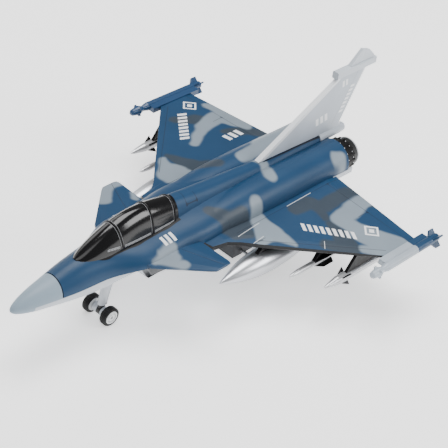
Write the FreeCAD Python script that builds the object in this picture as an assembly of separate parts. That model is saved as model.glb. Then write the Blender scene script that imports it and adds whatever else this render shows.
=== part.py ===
import FreeCAD, Part
import math
import os
from FreeCAD import Vector

# Toy jet fighter with a pull-back motor, in millimetres.
# X is towards the port wing tip, Y towards the tail, Z up. The wheels stand on Z = 0 and the
# origin is under the middle of the model. Stations are distances aft of the nose tip, and
# heights are measured from the nose axis, which runs NOSE_HEIGHT above the ground.

# ---- overall ----
LENGTH = 209.6
NOSE_HEIGHT = 28.8
WALL = 1.6
RUNNING_FIT = 0.05
LOFT_DEGREE = 3
SEAM_OVERLAP = 0.5

# ---- fuselage ----
RADOME_STATION = 20.8
RADOME_RADIUS = 6.7
RADOME_RISE = 0.9
CHIN_STATION = 9.0
BARREL_X = 9.15
BARREL_Z = 4.65
BARREL_R = 9.3
BARREL_END = 181.2
INTAKE_TOP_LIP = 58.0
INTAKE_BOTTOM_LIP = 66.0
INTAKE_LOW_Z = -11.0

# station, half width, peak height, seam height, squareness
UPPER_SECTIONS = [
    (32.0, 8.3, 10.4, 0.9, 2.0),
    (45.0, 10.3, 11.0, 1.9, 2.2),
    (57.0, 15.4, 10.8, 3.4, 2.1),
    (70.0, 16.6, 11.2, 3.6, 2.2),
    (85.0, 17.2, 12.2, 3.6, 2.4),
    (100.0, 17.8, 13.0, 3.6, 2.6),
    (120.0, 17.0, 12.6, 3.6, 2.6),
    (150.0, 14.0, 10.0, 3.6, 2.4),
    (172.0, 11.0, 7.5, 3.6, 2.2),
]
# station, half width, lowest height, seam height, squareness
CHIN_SECTIONS = [
    (32.0, 8.3, -7.4, 0.9, 2.0),
    (45.0, 9.6, -7.8, 1.9, 2.1),
    (57.0, 9.9, -7.8, 3.4, 2.3),
    (80.0, 9.6, -7.6, 3.6, 2.3),
    (110.0, 7.0, -6.6, 3.6, 2.2),
]
TRUNK_SECTIONS = [
    (56.0, 15.8, -9.0, 3.4, 2.9),
    (75.0, 16.5, -8.7, 3.6, 2.8),
    (100.0, 17.2, -7.3, 3.6, 2.8),
    (130.0, 16.8, -6.8, 3.6, 2.8),
    (160.0, 13.0, -5.4, 3.6, 2.4),
    (172.0, 11.0, -4.4, 3.6, 2.2),
]
# station, centre height, radius
BARREL_SECTIONS = [
    (92.0, 3.6, 7.4),
    (106.0, 4.0, 8.8),
    (122.0, 4.45, 9.5),
    (150.0, BARREL_Z, 9.5),
    (BARREL_END, BARREL_Z, BARREL_R),
]
# station, half width at the root, top height
SPINE_SECTIONS = [
    (80.0, 6.4, 19.7),
    (92.0, 6.5, 18.5),
    (106.0, 6.4, 17.2),
    (122.0, 5.9, 16.1),
    (137.0, 5.2, 14.9),
    (158.0, 4.5, 14.2),
    (177.6, 4.0, 13.6),
]
SPINE_ROOT = 5.0
# station and height of the sunk head of each screw that closes the body
BODY_SCREWS = [(28.0, -6.2), (92.0, -6.2), (158.0, -4.6)]
SCREW_R = 1.1
SCREW_HEAD_R = 2.1
SCREW_HEAD_HEIGHT = 1.6
BOSS_R = 2.6
SCREW_TIP = 8.0

# ---- canopy: station, half width, top height ----
CANOPY_SECTIONS = [
    (31.8, 1.7, 10.9),
    (34.0, 3.3, 12.1),
    (38.5, 4.9, 14.7),
    (44.5, 6.0, 17.8),
    (51.5, 6.7, 20.6),
    (59.5, 7.0, 22.2),
    (68.0, 7.0, 22.2),
    (76.0, 6.7, 21.1),
    (83.6, 6.3, 19.7),
]
CANOPY_BASE = 8.0
CANOPY_WALL = 1.2

# ---- wing, canards, fin ----
WING_ROOT_X = 17.0
WING_TOP_ROOT = 4.4
WING_TOP_TIP = 2.6
WING_TIP_X = 68.6
# distance out, leading edge station, trailing edge station, thickness
WING_RIBS = [
    (10.0, 88.6, 172.6, 3.0),
    (WING_ROOT_X, 88.6, 172.6, 3.0),
    (21.5, 89.6, 172.2, 2.9),
    (23.0, 97.0, 172.0, 2.8),
    (26.5, 101.8, 171.6, 2.7),
    (32.0, 107.4, 171.1, 2.6),
    (WING_TIP_X, 146.9, 167.4, 1.6),
]
CANARD_Z = 4.8
CANARD_THICK = 2.0
# distance out, leading edge station, trailing edge station
CANARD_RIBS = [(8.0, 54.5, 86.0), (17.0, 58.4, 86.6), (33.0, 76.6, 87.2), (34.4, 78.6, 86.7)]
FIN_THICK = 2.6
FIN_TIP_THICK = 1.5
FIN_LEAD = 136.9
FIN_FOOT = 177.8
FIN_TRAIL = 191.5
FIN_ROOT_FRONT_Z = 15.1
FIN_ROOT_REAR_Z = 13.8
POD_FRONT = 182.4
POD_LOW_Z = 41.6
POD_HIGH_Z = 45.2
FIN_TOP_Z = 52.0
HOUSING_Z = 11.6

# ---- nozzles ----
RING_END = 187.4
PETAL_END = 191.4
NOZZLE_R = 8.7
NOZZLE_RIBS = 18
NOZZLE_SPIGOT_R = 7.4
NOZZLE_BORE_DEPTH = 8.0

# ---- stores under the wing: distance out, nose station, axis height ----
TIP_X, TIP_NOSE, TIP_TAIL, TIP_Z = 73.2, 131.8, 177.2, 1.6
TANK_X, TANK_NOSE, TANK_Z, TANK_R, TANK_LENGTH = 31.0, 85.6, -8.1, 5.9, 66.0
INNER_X, INNER_NOSE, INNER_Z, INNER_R, INNER_LENGTH = 45.9, 113.4, -7.8, 1.3, 44.0
OUTER_X, OUTER_NOSE, OUTER_Z, OUTER_R, OUTER_LENGTH = 59.4, 120.7, -8.4, 2.0, 40.0

# ---- undercarriage ----
WHEEL_R = 4.3
HUB_R = 2.95
LEG_TOP = 1.2
NOSE_AXLE_STATION = 49.7
NOSE_WHEEL_IN, NOSE_WHEEL_OUT = 3.7, 7.1
MAIN_AXLE_STATION = 127.0
MAIN_WHEEL_IN, MAIN_WHEEL_OUT = 18.4, 21.8
AXLE_R = 0.75
AXLE_Z = WHEEL_R - NOSE_HEIGHT

# ---- pull-back motor ----
MODULE = 0.4
PINION_TEETH = 8
IDLER_TEETH = 24
DRUM_TEETH = 28
PRESSURE_ANGLE = math.radians(20.0)
BACKLASH = 0.1
IDLER_STATION = 131.5
DRUM_STATION = 134.0
ARBOR_R = 1.2
IDLER_SHAFT_R = 0.8
CASE_HALF_WIDTH = 7.5
CASE_WALL = 0.8
CASE_FRONT, CASE_REAR = 122.4, 142.0
CASE_TOP, CASE_BOTTOM = -3.0, -27.5
# station and height of the two screws that close the case
MOTOR_SCREWS = [(124.7, -5.4), (139.7, -5.4)]
MOTOR_SCREW_R = 0.7
MOTOR_BOSS_R = 1.9


def at(x, station, height):
    """A point given by distance to port, distance aft of the nose tip and height."""
    return Vector(x, station - LENGTH / 2.0, height + NOSE_HEIGHT)


def box(x0, x1, s0, s1, z0, z1):
    return Part.makeBox(x1 - x0, s1 - s0, z1 - z0, at(x0, s0, z0))


def rod(start, end, radius):
    along = end - start
    return Part.makeCylinder(radius, along.Length, start, along)


def cross_rod(x0, x1, station, height, radius):
    """A round bar that lies across the model."""
    return rod(at(x0, station, height), at(x1, station, height), radius)


def turned(x, height, outline):
    """A solid of revolution about a fore-and-aft line, from (station, radius) pairs."""
    points = [at(x, s, height + r) for s, r in outline]
    closed = points + [at(x, outline[-1][0], height), at(x, outline[0][0], height), points[0]]
    corners = [p for i, p in enumerate(closed) if i == 0 or p.distanceToPoint(closed[i - 1]) > 1e-6]
    face = Part.Face(Part.makePolygon(corners))
    return face.revolve(at(x, 0, height), Vector(0, 1, 0), 360)


def spindle(x, height, nose, length, radius, nose_power, tail_power):
    """A streamlined body: pointed at both ends and fullest in the middle."""
    steps = 12
    middle = nose + 0.42 * length
    curve = []
    for i in range(steps + 1):
        t = i / steps
        curve.append((nose + t * (middle - nose), radius * (1 - (1 - t) ** nose_power)))
    for i in range(1, steps + 1):
        t = i / steps
        curve.append((middle + t * (nose + length - middle), radius * (1 - t ** tail_power)))
    spline = Part.BSplineCurve()
    spline.interpolate([at(x, s, height + r) for s, r in curve])
    axis = Part.makeLine(at(x, nose + length, height), at(x, nose, height))
    face = Part.Face(Part.Wire([spline.toShape(), axis]))
    return face.revolve(at(x, 0, height), Vector(0, 1, 0), 360)


def mirrored(shape):
    """The starboard copy of a port piece."""
    return shape.mirror(Vector(0, 0, 0), Vector(1, 0, 0))


def arch(station, half_width, peak, seam, squareness, centre=0.0):
    """Half of an oval section, closed by a straight line along the seam."""
    count = 14
    points = []
    for i in range(count + 1):
        angle = math.pi * i / count
        across = math.cos(angle)
        upward = math.sin(angle)
        x = half_width * math.copysign(abs(across) ** (2.0 / squareness), across)
        z = seam + (peak - seam) * upward ** (2.0 / squareness)
        points.append(at(centre + x, station, z))
    spline = Part.BSplineCurve()
    spline.interpolate(points)
    return Part.Wire([spline.toShape(), Part.makeLine(points[-1], points[0])])


def ring(station, radius, centre, height):
    circle = Part.Circle(at(centre, station, height), Vector(0, 1, 0), radius)
    return Part.Wire([circle.toShape()])


def loft(wires, ruled=False):
    return Part.makeLoft(wires, True, ruled, False, LOFT_DEGREE)


def largest(shape):
    """The main solid of a cut, without any sliver left along the seam."""
    return max(shape.Solids, key=lambda solid: solid.Volume)


def fused(shapes):
    result = shapes[0]
    for shape in shapes[1:]:
        result = result.fuse(shape)
    return result


# ---- fuselage shells ----

def radome_sections(seam_sign, first_station):
    """Arches of the round nose: its radius grows as the square root of the distance aft."""
    stations = [0.15, 0.9, 2.6, 6.0, 12.0, RADOME_STATION]
    sections = []
    for s in stations:
        if s < first_station:
            continue
        radius = RADOME_RADIUS * math.sqrt(s / RADOME_STATION)
        rise = RADOME_RISE * s / RADOME_STATION
        sections.append((s, radius, rise + seam_sign * radius, rise * 0.6, 2.0))
    return sections


def half_hull(sections, inset, past_seam=0.0):
    """A lofted half hull, pulled in all round by the inset and run on past the seam."""
    wires = []
    for s, half_width, peak, seam, squareness in sections:
        direction = 1.0 if peak > seam else -1.0
        edge = seam - direction * past_seam
        wires.append(arch(s, half_width - inset, peak - direction * inset, edge, squareness))
    return loft(wires)


def barrel(side, inset):
    return loft([ring(s, r - inset, side * BARREL_X, z) for s, z, r in BARREL_SECTIONS])


def seam_block(above):
    """The space above or below the seam, aft of the forward barrels."""
    seam = UPPER_SECTIONS[-1][3]
    z0, z1 = (seam, 60.0) if above else (-60.0, seam)
    return box(-60.0, 60.0, 80.0, 200.0, z0, z1)


def spine(inset):
    wires = []
    for s, half_width, top in SPINE_SECTIONS:
        wires.append(arch(s, half_width - inset, top - inset, SPINE_ROOT, 2.2))
    return loft(wires)


def engine_bay(side):
    """The blind bore in the end of a barrel that takes a nozzle."""
    return rod(at(side * BARREL_X, BARREL_END - NOZZLE_BORE_DEPTH, BARREL_Z),
               at(side * BARREL_X, BARREL_END + 1.0, BARREL_Z), NOZZLE_SPIGOT_R)


def upper_hull():
    """The upper half of the nose and body as one solid, without the spine and barrels."""
    return half_hull(radome_sections(1.0, 0.0) + UPPER_SECTIONS, 0.0)


def upper_fuselage(wing, canards, canopy_plug, fin_tongue):
    nose = radome_sections(1.0, 0.0)
    barrels = [barrel(side, 0.0).common(seam_block(True)) for side in (1, -1)]
    skin = fused([upper_hull(), spine(0.0)] + barrels)
    skin = skin.fuse(nose_tip_chin())
    hollow_front = 16.0
    inner_sections = [row for row in nose + UPPER_SECTIONS if row[0] > hollow_front]
    hollow = half_hull(inner_sections[:-2], WALL, SEAM_OVERLAP)
    hollow = hollow.fuse(spine_hollow())
    shell = skin.cut(hollow)
    for station, _ in BODY_SCREWS:
        post = rod(at(0, station, 3.7), at(0, station, 30.0), BOSS_R)
        shell = shell.fuse(post.common(skin))
        shell = shell.cut(rod(at(0, station, -2.0), at(0, station, SCREW_TIP), SCREW_R))
    for side in (1, -1):
        shell = shell.cut(engine_bay(side))
    for insert in (wing, canards, canopy_plug, fin_tongue, radome_groove()):
        shell = shell.cut(insert)
    return largest(shell)


def nose_tip_chin():
    """The upper casting wraps right round the tip of the nose."""
    tip = [row for row in radome_sections(-1.0, 0.0) if row[0] < CHIN_STATION]
    end_radius = RADOME_RADIUS * math.sqrt(CHIN_STATION / RADOME_STATION)
    end_rise = RADOME_RISE * CHIN_STATION / RADOME_STATION
    tip.append((CHIN_STATION, end_radius, end_rise - end_radius, end_rise * 0.6, 2.0))
    return half_hull(tip, 0.0, 0.15)


def spine_hollow():
    wires = []
    for s, half_width, top in SPINE_SECTIONS[1:4]:
        wires.append(arch(s, half_width - WALL, top - WALL, SPINE_ROOT, 2.2))
    return loft(wires)


def radome_groove():
    """A shallow ring groove where the painted radome ends."""
    depth = 0.25
    width = 0.45
    outer = rod(at(0, RADOME_STATION, RADOME_RISE), at(0, RADOME_STATION + width, RADOME_RISE), 12.0)
    core = rod(at(0, RADOME_STATION - 1, RADOME_RISE), at(0, RADOME_STATION + 1, RADOME_RISE),
               RADOME_RADIUS - depth)
    return outer.cut(core)


def intake_mouth(side):
    """The hollow of an air intake, open to the front."""
    depth_station = 82.0
    wires = []
    for s in (50.0, depth_station):
        middle = at(side * 12.6, s, -2.6)
        ellipse = Part.Ellipse(middle, 4.7, 2.9)
        ellipse.Axis = Vector(0, 1, 0)
        ellipse.XAxis = Vector(0.25 * side, 0, 1).normalize()
        wires.append(Part.Wire([ellipse.toShape()]))
    return loft(wires, True)


def intake_rake():
    """The wedge that slopes both intake lips backwards from top to bottom."""
    corners = [(20.0, 6.0), (INTAKE_TOP_LIP, 6.0), (INTAKE_TOP_LIP, 3.4),
               (INTAKE_BOTTOM_LIP, INTAKE_LOW_Z), (20.0, INTAKE_LOW_Z)]
    points = [at(-40, s, z) for s, z in corners]
    face = Part.Face(Part.makePolygon(points + [points[0]]))
    return face.extrude(Vector(80, 0, 0))


def lower_fuselage(wing, canards):
    start = RADOME_RADIUS * math.sqrt(CHIN_STATION / RADOME_STATION)
    rise = RADOME_RISE * CHIN_STATION / RADOME_STATION
    chin = [(CHIN_STATION, start, rise - start, rise * 0.6, 2.0)]
    chin += radome_sections(-1.0, CHIN_STATION) + CHIN_SECTIONS
    trunk = half_hull(TRUNK_SECTIONS, 0.0).cut(intake_rake())
    for side in (1, -1):
        trunk = trunk.cut(intake_mouth(side))
    barrels = [barrel(side, 0.0).common(seam_block(False)) for side in (1, -1)]
    fairings = [engine_fairing(side) for side in (1, -1)]
    skin = fused([half_hull(chin, 0.0), trunk] + barrels + fairings).cut(upper_hull())
    cavity = half_hull(CHIN_SECTIONS, WALL, SEAM_OVERLAP)
    trunk_hollow = half_hull(TRUNK_SECTIONS, WALL, SEAM_OVERLAP)
    cavity = cavity.fuse(trunk_hollow.common(box(-60, 60, 86, 166, -60, 60)))
    shell = skin.cut(cavity)
    for station, head in BODY_SCREWS:
        post = rod(at(0, station, -12.0), at(0, station, 3.4), BOSS_R + 0.4)
        seat = at(0, station, head + SCREW_HEAD_HEIGHT)
        shell = shell.fuse(post.common(skin))
        shell = shell.cut(rod(at(0, station, -14.0), at(0, station, 6.0), SCREW_R))
        shell = shell.cut(rod(at(0, station, -14.0), seat, SCREW_HEAD_R))
    for side in (1, -1):
        shell = shell.cut(engine_bay(side))
    for insert in (wing, canards, motor_space(), nose_leg_socket()):
        shell = shell.cut(insert)
    return largest(shell)


def engine_fairing(side):
    """The straight strip that carries the wing root line aft beside the barrel."""
    x0, x1 = sorted((side * 14.6, side * 18.7))
    strip = box(x0, x1, 150.0, 184.0, 1.2, 3.6)
    nozzle = rod(at(side * BARREL_X, BARREL_END, BARREL_Z), at(side * BARREL_X, LENGTH, BARREL_Z),
                 NOZZLE_R + RUNNING_FIT)
    return strip.cut(nozzle)


# ---- flying surfaces ----

def rib(x, lead, trail, top, thick):
    """A thin section across the span, blunt in front and thin behind."""
    edge = 0.15 * thick
    chord = trail - lead
    shoulder = min(7.0, 0.25 * chord)
    low = top - thick
    nose_round = 0.18 * thick
    trail_z = low + 0.5 * thick
    corners = [
        (lead, low + nose_round), (lead + nose_round, low), (trail - shoulder, low),
        (trail, trail_z - edge), (trail, trail_z + edge), (trail - shoulder, top),
        (lead + shoulder, top), (lead, top - nose_round),
    ]
    points = [at(x, s, z) for s, z in corners]
    return Part.makePolygon(points + [points[0]])


def wing_top(x):
    """The wing droops slightly towards its tips."""
    slope = (WING_TOP_TIP - WING_TOP_ROOT) / (WING_TIP_X - WING_ROOT_X)
    return WING_TOP_ROOT + slope * max(0.0, abs(x) - WING_ROOT_X)


def wing_plate():
    """Both wings are one plate that is clamped between the fuselage halves."""
    ribs = [rib(x, lead, trail, wing_top(x), t) for x, lead, trail, t in WING_RIBS]
    half = fused([loft([a, b], True) for a, b in zip(ribs, ribs[1:])])
    x, lead, trail, thick = WING_RIBS[0]
    bridge = box(-x, x, lead + 6.0, trail - 6.0, WING_TOP_ROOT - thick, WING_TOP_ROOT)
    plate = fused([half, mirrored(half), bridge])
    for station, _ in BODY_SCREWS[1:]:
        plate = plate.cut(rod(at(0, station, -1.0), at(0, station, 8.0), BOSS_R + 0.5))
    return plate


def canard_plate():
    top = CANARD_Z + 0.5 * CANARD_THICK
    ribs = []
    for x, lead, trail in CANARD_RIBS:
        ribs.append(rib(x, lead, trail, top - 0.018 * (x - 8.0), CANARD_THICK - 0.03 * (x - 8.0)))
    half = fused([loft([a, b], True) for a, b in zip(ribs, ribs[1:])])
    x, lead, trail = CANARD_RIBS[0]
    bridge = box(-x, x, lead + 9.0, trail - 9.0, top - CANARD_THICK, top)
    plate = fused([half, mirrored(half), bridge])
    for side in (1, -1):
        plate = plate.cut(canard_hinge_groove(side))
    return plate


def canard_hinge_groove(side):
    """The scored line that marks the moving rear half of the canard."""
    depth = 0.25
    top = CANARD_Z + 0.5 * CANARD_THICK
    start = at(side * 18.0, 76.5, top)
    end = at(side * 34.2, 84.0, top - 0.3)
    groove = rod(start, end, depth)
    return groove


def fin_outline():
    """Side view of the fin, as (station, height) corners."""
    return [
        (FIN_LEAD, FIN_ROOT_FRONT_Z), (POD_FRONT + 2.4, POD_LOW_Z), (POD_FRONT + 2.4, POD_HIGH_Z),
        (191.4, POD_HIGH_Z), (198.7, FIN_TOP_Z), (204.0, 50.2), (207.8, 46.8),
        (207.8, POD_LOW_Z + 0.6), (203.5, POD_LOW_Z), (FIN_TRAIL, 16.3), (194.5, HOUSING_Z),
        (FIN_FOOT, HOUSING_Z), (FIN_FOOT, FIN_ROOT_REAR_Z),
    ]


def fin_slab(corners, thick):
    points = [at(-0.5 * thick, s, z) for s, z in corners]
    return Part.Face(Part.makePolygon(points + [points[0]])).extrude(Vector(thick, 0, 0))


def tail_fin():
    """The fin, the sensor pod near its top and the parachute housing at its foot."""
    blade = fin_slab(fin_outline(), FIN_THICK).common(fin_taper())
    pod = box(-1.7, 1.7, POD_FRONT, LENGTH, POD_LOW_Z, POD_HIGH_Z)
    corner = 0.7
    lengthwise = [e for e in pod.Edges if abs(e.tangentAt(e.FirstParameter).y) > 0.9]
    pod = pod.makeFillet(corner, lengthwise)
    housing = turned(0, HOUSING_Z, [(FIN_FOOT, 2.7), (FIN_FOOT + 4.0, 2.7), (192.4, 2.5),
                                    (195.6, 2.2), (196.6, 1.4)])
    foot = fused([blade, pod, housing, fin_tongue()])
    for side in (1, -1):
        start = at(side * BARREL_X, FIN_FOOT - 20.0, BARREL_Z)
        foot = foot.cut(rod(start, at(side * BARREL_X, BARREL_END + 2.0, BARREL_Z), BARREL_R + 0.15))
    return foot


def fin_taper():
    """The space between the two slightly converging faces of the fin."""
    low, high = HOUSING_Z - 1.0, FIN_TOP_Z + 1.0
    corners = [(-0.5 * FIN_THICK, low), (0.5 * FIN_THICK, low),
               (0.5 * FIN_TIP_THICK, high), (-0.5 * FIN_TIP_THICK, high)]
    points = [at(x, 120.0, z) for x, z in corners]
    return Part.Face(Part.makePolygon(points + [points[0]])).extrude(Vector(0, 100, 0))


def fin_tongue():
    """The tongue under the fin that plugs into the spine."""
    return box(-0.8, 0.8, 146.0, 172.0, 10.6, FIN_ROOT_REAR_Z + 0.8)


# ---- canopy ----

def canopy_bubble():
    """The whole space the canopy takes out of the upper shell."""
    return loft([arch(s, w, top, CANOPY_BASE, 2.0) for s, w, top in CANOPY_SECTIONS])


def canopy_hollow():
    """The hollow inside the canopy moulding, open underneath."""
    wires = []
    for s, w, top in CANOPY_SECTIONS[2:-1]:
        wires.append(arch(s, w - CANOPY_WALL, top - CANOPY_WALL, CANOPY_BASE - 0.5, 2.0))
    s, w, top = CANOPY_SECTIONS[-1]
    wires.append(arch(s - CANOPY_WALL, w - CANOPY_WALL, top - CANOPY_WALL, CANOPY_BASE - 0.5, 2.0))
    return loft(wires)


# ---- nozzles ----

def nozzle_ring(side):
    """The black ring, with a rib for each petal, and the spigot that plugs into the barrel."""
    x = side * BARREL_X
    body = turned(x, BARREL_Z, [(BARREL_END - 7.9, NOZZLE_SPIGOT_R - RUNNING_FIT),
                                (BARREL_END, NOZZLE_SPIGOT_R - RUNNING_FIT), (BARREL_END, NOZZLE_R),
                                (BARREL_END + 1.2, NOZZLE_R), (BARREL_END + 1.6, 8.2),
                                (RING_END, 7.6)])
    bore = turned(x, BARREL_Z, [(BARREL_END - 5.0, 6.6), (RING_END + 1.0, 6.5)])
    rib_width = 0.7
    ribs = []
    for i in range(NOZZLE_RIBS):
        bar = box(x - rib_width / 2, x + rib_width / 2, BARREL_END + 1.6, RING_END,
                  BARREL_Z + 7.2, BARREL_Z + 8.1)
        bar.rotate(at(x, 0, BARREL_Z), Vector(0, 1, 0), 360.0 * i / NOZZLE_RIBS)
        ribs.append(bar)
    return body.fuse(ribs).cut(bore).removeSplitter()


def nozzle_petals(side):
    """The pale inner cone that shows behind the black ring."""
    x = side * BARREL_X
    outer = turned(x, BARREL_Z, [(BARREL_END - 4.9, 6.5), (RING_END, 6.4),
                                 (RING_END, 7.2), (PETAL_END, 6.7)])
    bore = turned(x, BARREL_Z, [(BARREL_END - 1.0, 4.6), (PETAL_END + 0.1, 6.1)])
    return outer.cut(bore)


# ---- stores ----

def fin_plate(x, height, angle, corners, thick):
    """A small flat fin that stands off a fore-and-aft axis at an angle, as (station, radius)."""
    points = [at(x - 0.5 * thick, s, height + r) for s, r in corners]
    plate = Part.Face(Part.makePolygon(points + [points[0]])).extrude(Vector(thick, 0, 0))
    plate.rotate(at(x, 0, height), Vector(0, 1, 0), angle)
    return plate


def fin_set(x, height, corners, thick, first_angle):
    return [fin_plate(x, height, first_angle + 90.0 * i, corners, thick) for i in range(4)]


def tip_missile():
    """The missile and its rail are moulded in one and glued to the wing tip."""
    seeker = [(TIP_NOSE, 0.7), (TIP_NOSE + 0.9, 1.5), (TIP_NOSE + 5.0, 2.2), (TIP_NOSE + 7.4, 1.3),
              (TIP_NOSE + 10.6, 2.0), (TIP_TAIL - 3.0, 2.0), (TIP_TAIL, 1.7)]
    body = turned(TIP_X, TIP_Z, seeker)
    rail = box(WING_TIP_X, TIP_X, TIP_NOSE + 10.6, TIP_TAIL - 5.0, TIP_Z - 1.2, TIP_Z + 1.4)
    fore, aft = TIP_NOSE + 2.6, TIP_TAIL - 6.2
    front_fins = fin_set(TIP_X, TIP_Z, [(fore, 0.5), (fore + 2.4, 0.5), (fore + 2.4, 2.8),
                                        (fore + 1.4, 2.8)], 0.6, 45)
    rear_fins = fin_set(TIP_X, TIP_Z, [(aft, 0.5), (aft + 5.8, 0.5), (aft + 5.8, 4.2),
                                       (aft + 3.0, 4.2)], 0.8, 45)
    return fused([body, rail] + front_fins + rear_fins)


def drop_tank():
    return spindle(TANK_X, TANK_Z, TANK_NOSE, TANK_LENGTH, TANK_R, 2.0, 2.2)


def pylon(x, thick, lead, trail, store_top):
    """A swept plate between the wing and a store, with one end on each."""
    sweep = 6.0
    root_z = wing_top(x) - 1.2
    corners = [(lead + sweep, root_z), (lead, store_top), (trail, store_top), (trail + 1.0, root_z)]
    points = [at(x - 0.5 * thick, s, z) for s, z in corners]
    return Part.Face(Part.makePolygon(points + [points[0]])).extrude(Vector(thick, 0, 0))


def tank_pylon(wing, tank):
    blank = pylon(TANK_X, 1.8, 106.0, 138.0, TANK_Z + 4.0)
    return blank.cut(wing).cut(tank)


def inner_missile():
    """The slim missile, with long cruciform wings."""
    tail = INNER_NOSE + INNER_LENGTH
    body = turned(INNER_X, INNER_Z, [(INNER_NOSE, 0.35), (INNER_NOSE + 2.0, 0.9),
                                     (INNER_NOSE + 5.5, INNER_R), (tail, INNER_R)])
    wings = fin_set(INNER_X, INNER_Z, [(INNER_NOSE + 13, 0.5), (INNER_NOSE + 26, 0.5),
                                       (INNER_NOSE + 26, 3.6), (INNER_NOSE + 20, 3.6)], 0.6, 45)
    tail_fins = fin_set(INNER_X, INNER_Z, [(tail - 7, 0.5), (tail, 0.5), (tail, 3.2),
                                           (tail - 3, 3.2)], 0.6, 45)
    return fused([body] + wings + tail_fins)


def outer_missile():
    """The fatter missile, with small triangular fore fins."""
    tail = OUTER_NOSE + OUTER_LENGTH
    body = turned(OUTER_X, OUTER_Z, [(OUTER_NOSE, 0.45), (OUTER_NOSE + 2.5, 1.1),
                                     (OUTER_NOSE + 8.0, OUTER_R), (tail, OUTER_R)])
    fore_fins = fin_set(OUTER_X, OUTER_Z, [(OUTER_NOSE + 7, 0.8), (OUTER_NOSE + 13.5, 0.8),
                                           (OUTER_NOSE + 13.5, 4.0)], 0.6, 45)
    tail_fins = fin_set(OUTER_X, OUTER_Z, [(tail - 8, 0.8), (tail, 0.8), (tail, 4.2),
                                           (tail - 3, 4.2)], 0.7, 45)
    return fused([body] + fore_fins + tail_fins)


def missile_pylon(x, height, radius, lead, trail, missile, wing):
    blank = pylon(x, 1.4, lead, trail, height + 0.5 * radius)
    return blank.cut(wing).cut(missile)


# ---- wheels ----

def tyre(x0, x1, station):
    """A tyre with rounded shoulders, bored for its hub."""
    shoulder = 0.9
    blank = cross_rod(x0, x1, station, AXLE_Z, WHEEL_R)
    blank = blank.makeFillet(shoulder, [e for e in blank.Edges if e.Closed])
    return blank.cut(cross_rod(x0 - 1, x1 + 1, station, AXLE_Z, HUB_R))


def hub(x0, x1, station, outward):
    """A dished hub that fills the tyre and is pressed on the axle."""
    blank = cross_rod(x0, x1, station, AXLE_Z, HUB_R)
    face = x1 if outward > 0 else x0
    dish_depth = 0.8
    d0, d1 = sorted((face - outward * dish_depth, face + outward))
    dish = cross_rod(d0, d1, station, AXLE_Z, 2.4).cut(cross_rod(d0, d1, station, AXLE_Z, 1.5))
    return blank.cut(dish).cut(cross_rod(x0 - 1, x1 + 1, station, AXLE_Z, AXLE_R))


def nose_leg():
    """The nose leg: socket plug, round strut, forked foot and the door plate behind it."""
    station = NOSE_AXLE_STATION
    plug = box(-2.0, 2.0, station - 2.0, station + 6.0, -10.0, -5.4)
    strut = rod(at(0, station + 1.6, -9.0), at(0, station, AXLE_Z), 1.7)
    foot = cross_rod(-2.9, 2.9, station, AXLE_Z, 2.2)
    door_corners = [(station + 0.5, AXLE_Z + 2.0), (station + 2.5, AXLE_Z + 2.0),
                    (station + 6.0, -7.0), (station + 1.2, -7.0)]
    points = [at(-0.9, s, z) for s, z in door_corners]
    door = Part.Face(Part.makePolygon(points + [points[0]])).extrude(Vector(1.8, 0, 0))
    leg = fused([plug, strut, foot, door])
    return leg.cut(cross_rod(-9, 9, station, AXLE_Z, AXLE_R + RUNNING_FIT))


def nose_leg_socket():
    station = NOSE_AXLE_STATION
    return box(-2.0, 2.0, station - 2.0, station + 6.0, -12.0, -5.4)


def main_leg(side, lower_shell):
    """A main leg: a strut from the belly down to the bearing block beside the wheel."""
    inner, outer = MAIN_WHEEL_IN - 2.6, MAIN_WHEEL_IN - 0.4
    x0, x1 = sorted((side * inner, side * outer))
    corners = [(MAIN_AXLE_STATION - 2.2, AXLE_Z), (MAIN_AXLE_STATION + 2.2, AXLE_Z),
               (MAIN_AXLE_STATION + 5.0, LEG_TOP), (MAIN_AXLE_STATION - 5.0, LEG_TOP)]
    points = [at(x0, s, z) for s, z in corners]
    plate = Part.Face(Part.makePolygon(points + [points[0]])).extrude(Vector(x1 - x0, 0, 0))
    eye = cross_rod(x0, x1, MAIN_AXLE_STATION, AXLE_Z, 2.4)
    leg = plate.fuse(eye).removeSplitter()
    leg = leg.cut(cross_rod(x0 - 1, x1 + 1, MAIN_AXLE_STATION, AXLE_Z, AXLE_R + RUNNING_FIT))
    return leg.cut(lower_shell)


# ---- pull-back motor ----

def involute_point(base, roll):
    """A point on the involute of a base circle, by polar radius and angle."""
    radius = base * math.sqrt(1.0 + roll * roll)
    return radius, roll - math.atan(roll)


def gear_blank_wire(teeth, x, turn):
    """The outline of a spur gear in the plane at x, turned by an angle in degrees."""
    pitch = 0.5 * MODULE * teeth
    base = pitch * math.cos(PRESSURE_ANGLE)
    tip = pitch + 0.9 * MODULE
    root = pitch - 1.15 * MODULE
    inv_pitch = math.tan(PRESSURE_ANGLE) - PRESSURE_ANGLE
    half_tooth = 0.5 * math.pi / teeth - 0.5 * BACKLASH / pitch
    last_roll = math.sqrt((tip / base) ** 2 - 1.0)
    flank = []
    for i in range(5):
        radius, swing = involute_point(base, last_roll * i / 4.0)
        flank.append((max(radius, root), half_tooth + inv_pitch - swing))
    if root < base:
        flank.insert(0, (root, flank[0][1]))
    points = []
    for tooth in range(teeth):
        centre = math.radians(turn) + 2.0 * math.pi * tooth / teeth
        for radius, angle in flank:
            points.append((radius, centre - angle))
        for radius, angle in reversed(flank):
            points.append((radius, centre + angle))
    corners = [Vector(x, r * math.cos(a), r * math.sin(a)) for r, a in points]
    return Part.makePolygon(corners + [corners[0]])


def gear(teeth, x0, x1, station, height, turn):
    wire = gear_blank_wire(teeth, x0, turn)
    blank = Part.Face(wire).extrude(Vector(x1 - x0, 0, 0))
    blank.translate(at(0, station, height))
    return blank


def centre_distance(teeth_a, teeth_b):
    return 0.5 * MODULE * (teeth_a + teeth_b)


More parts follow.
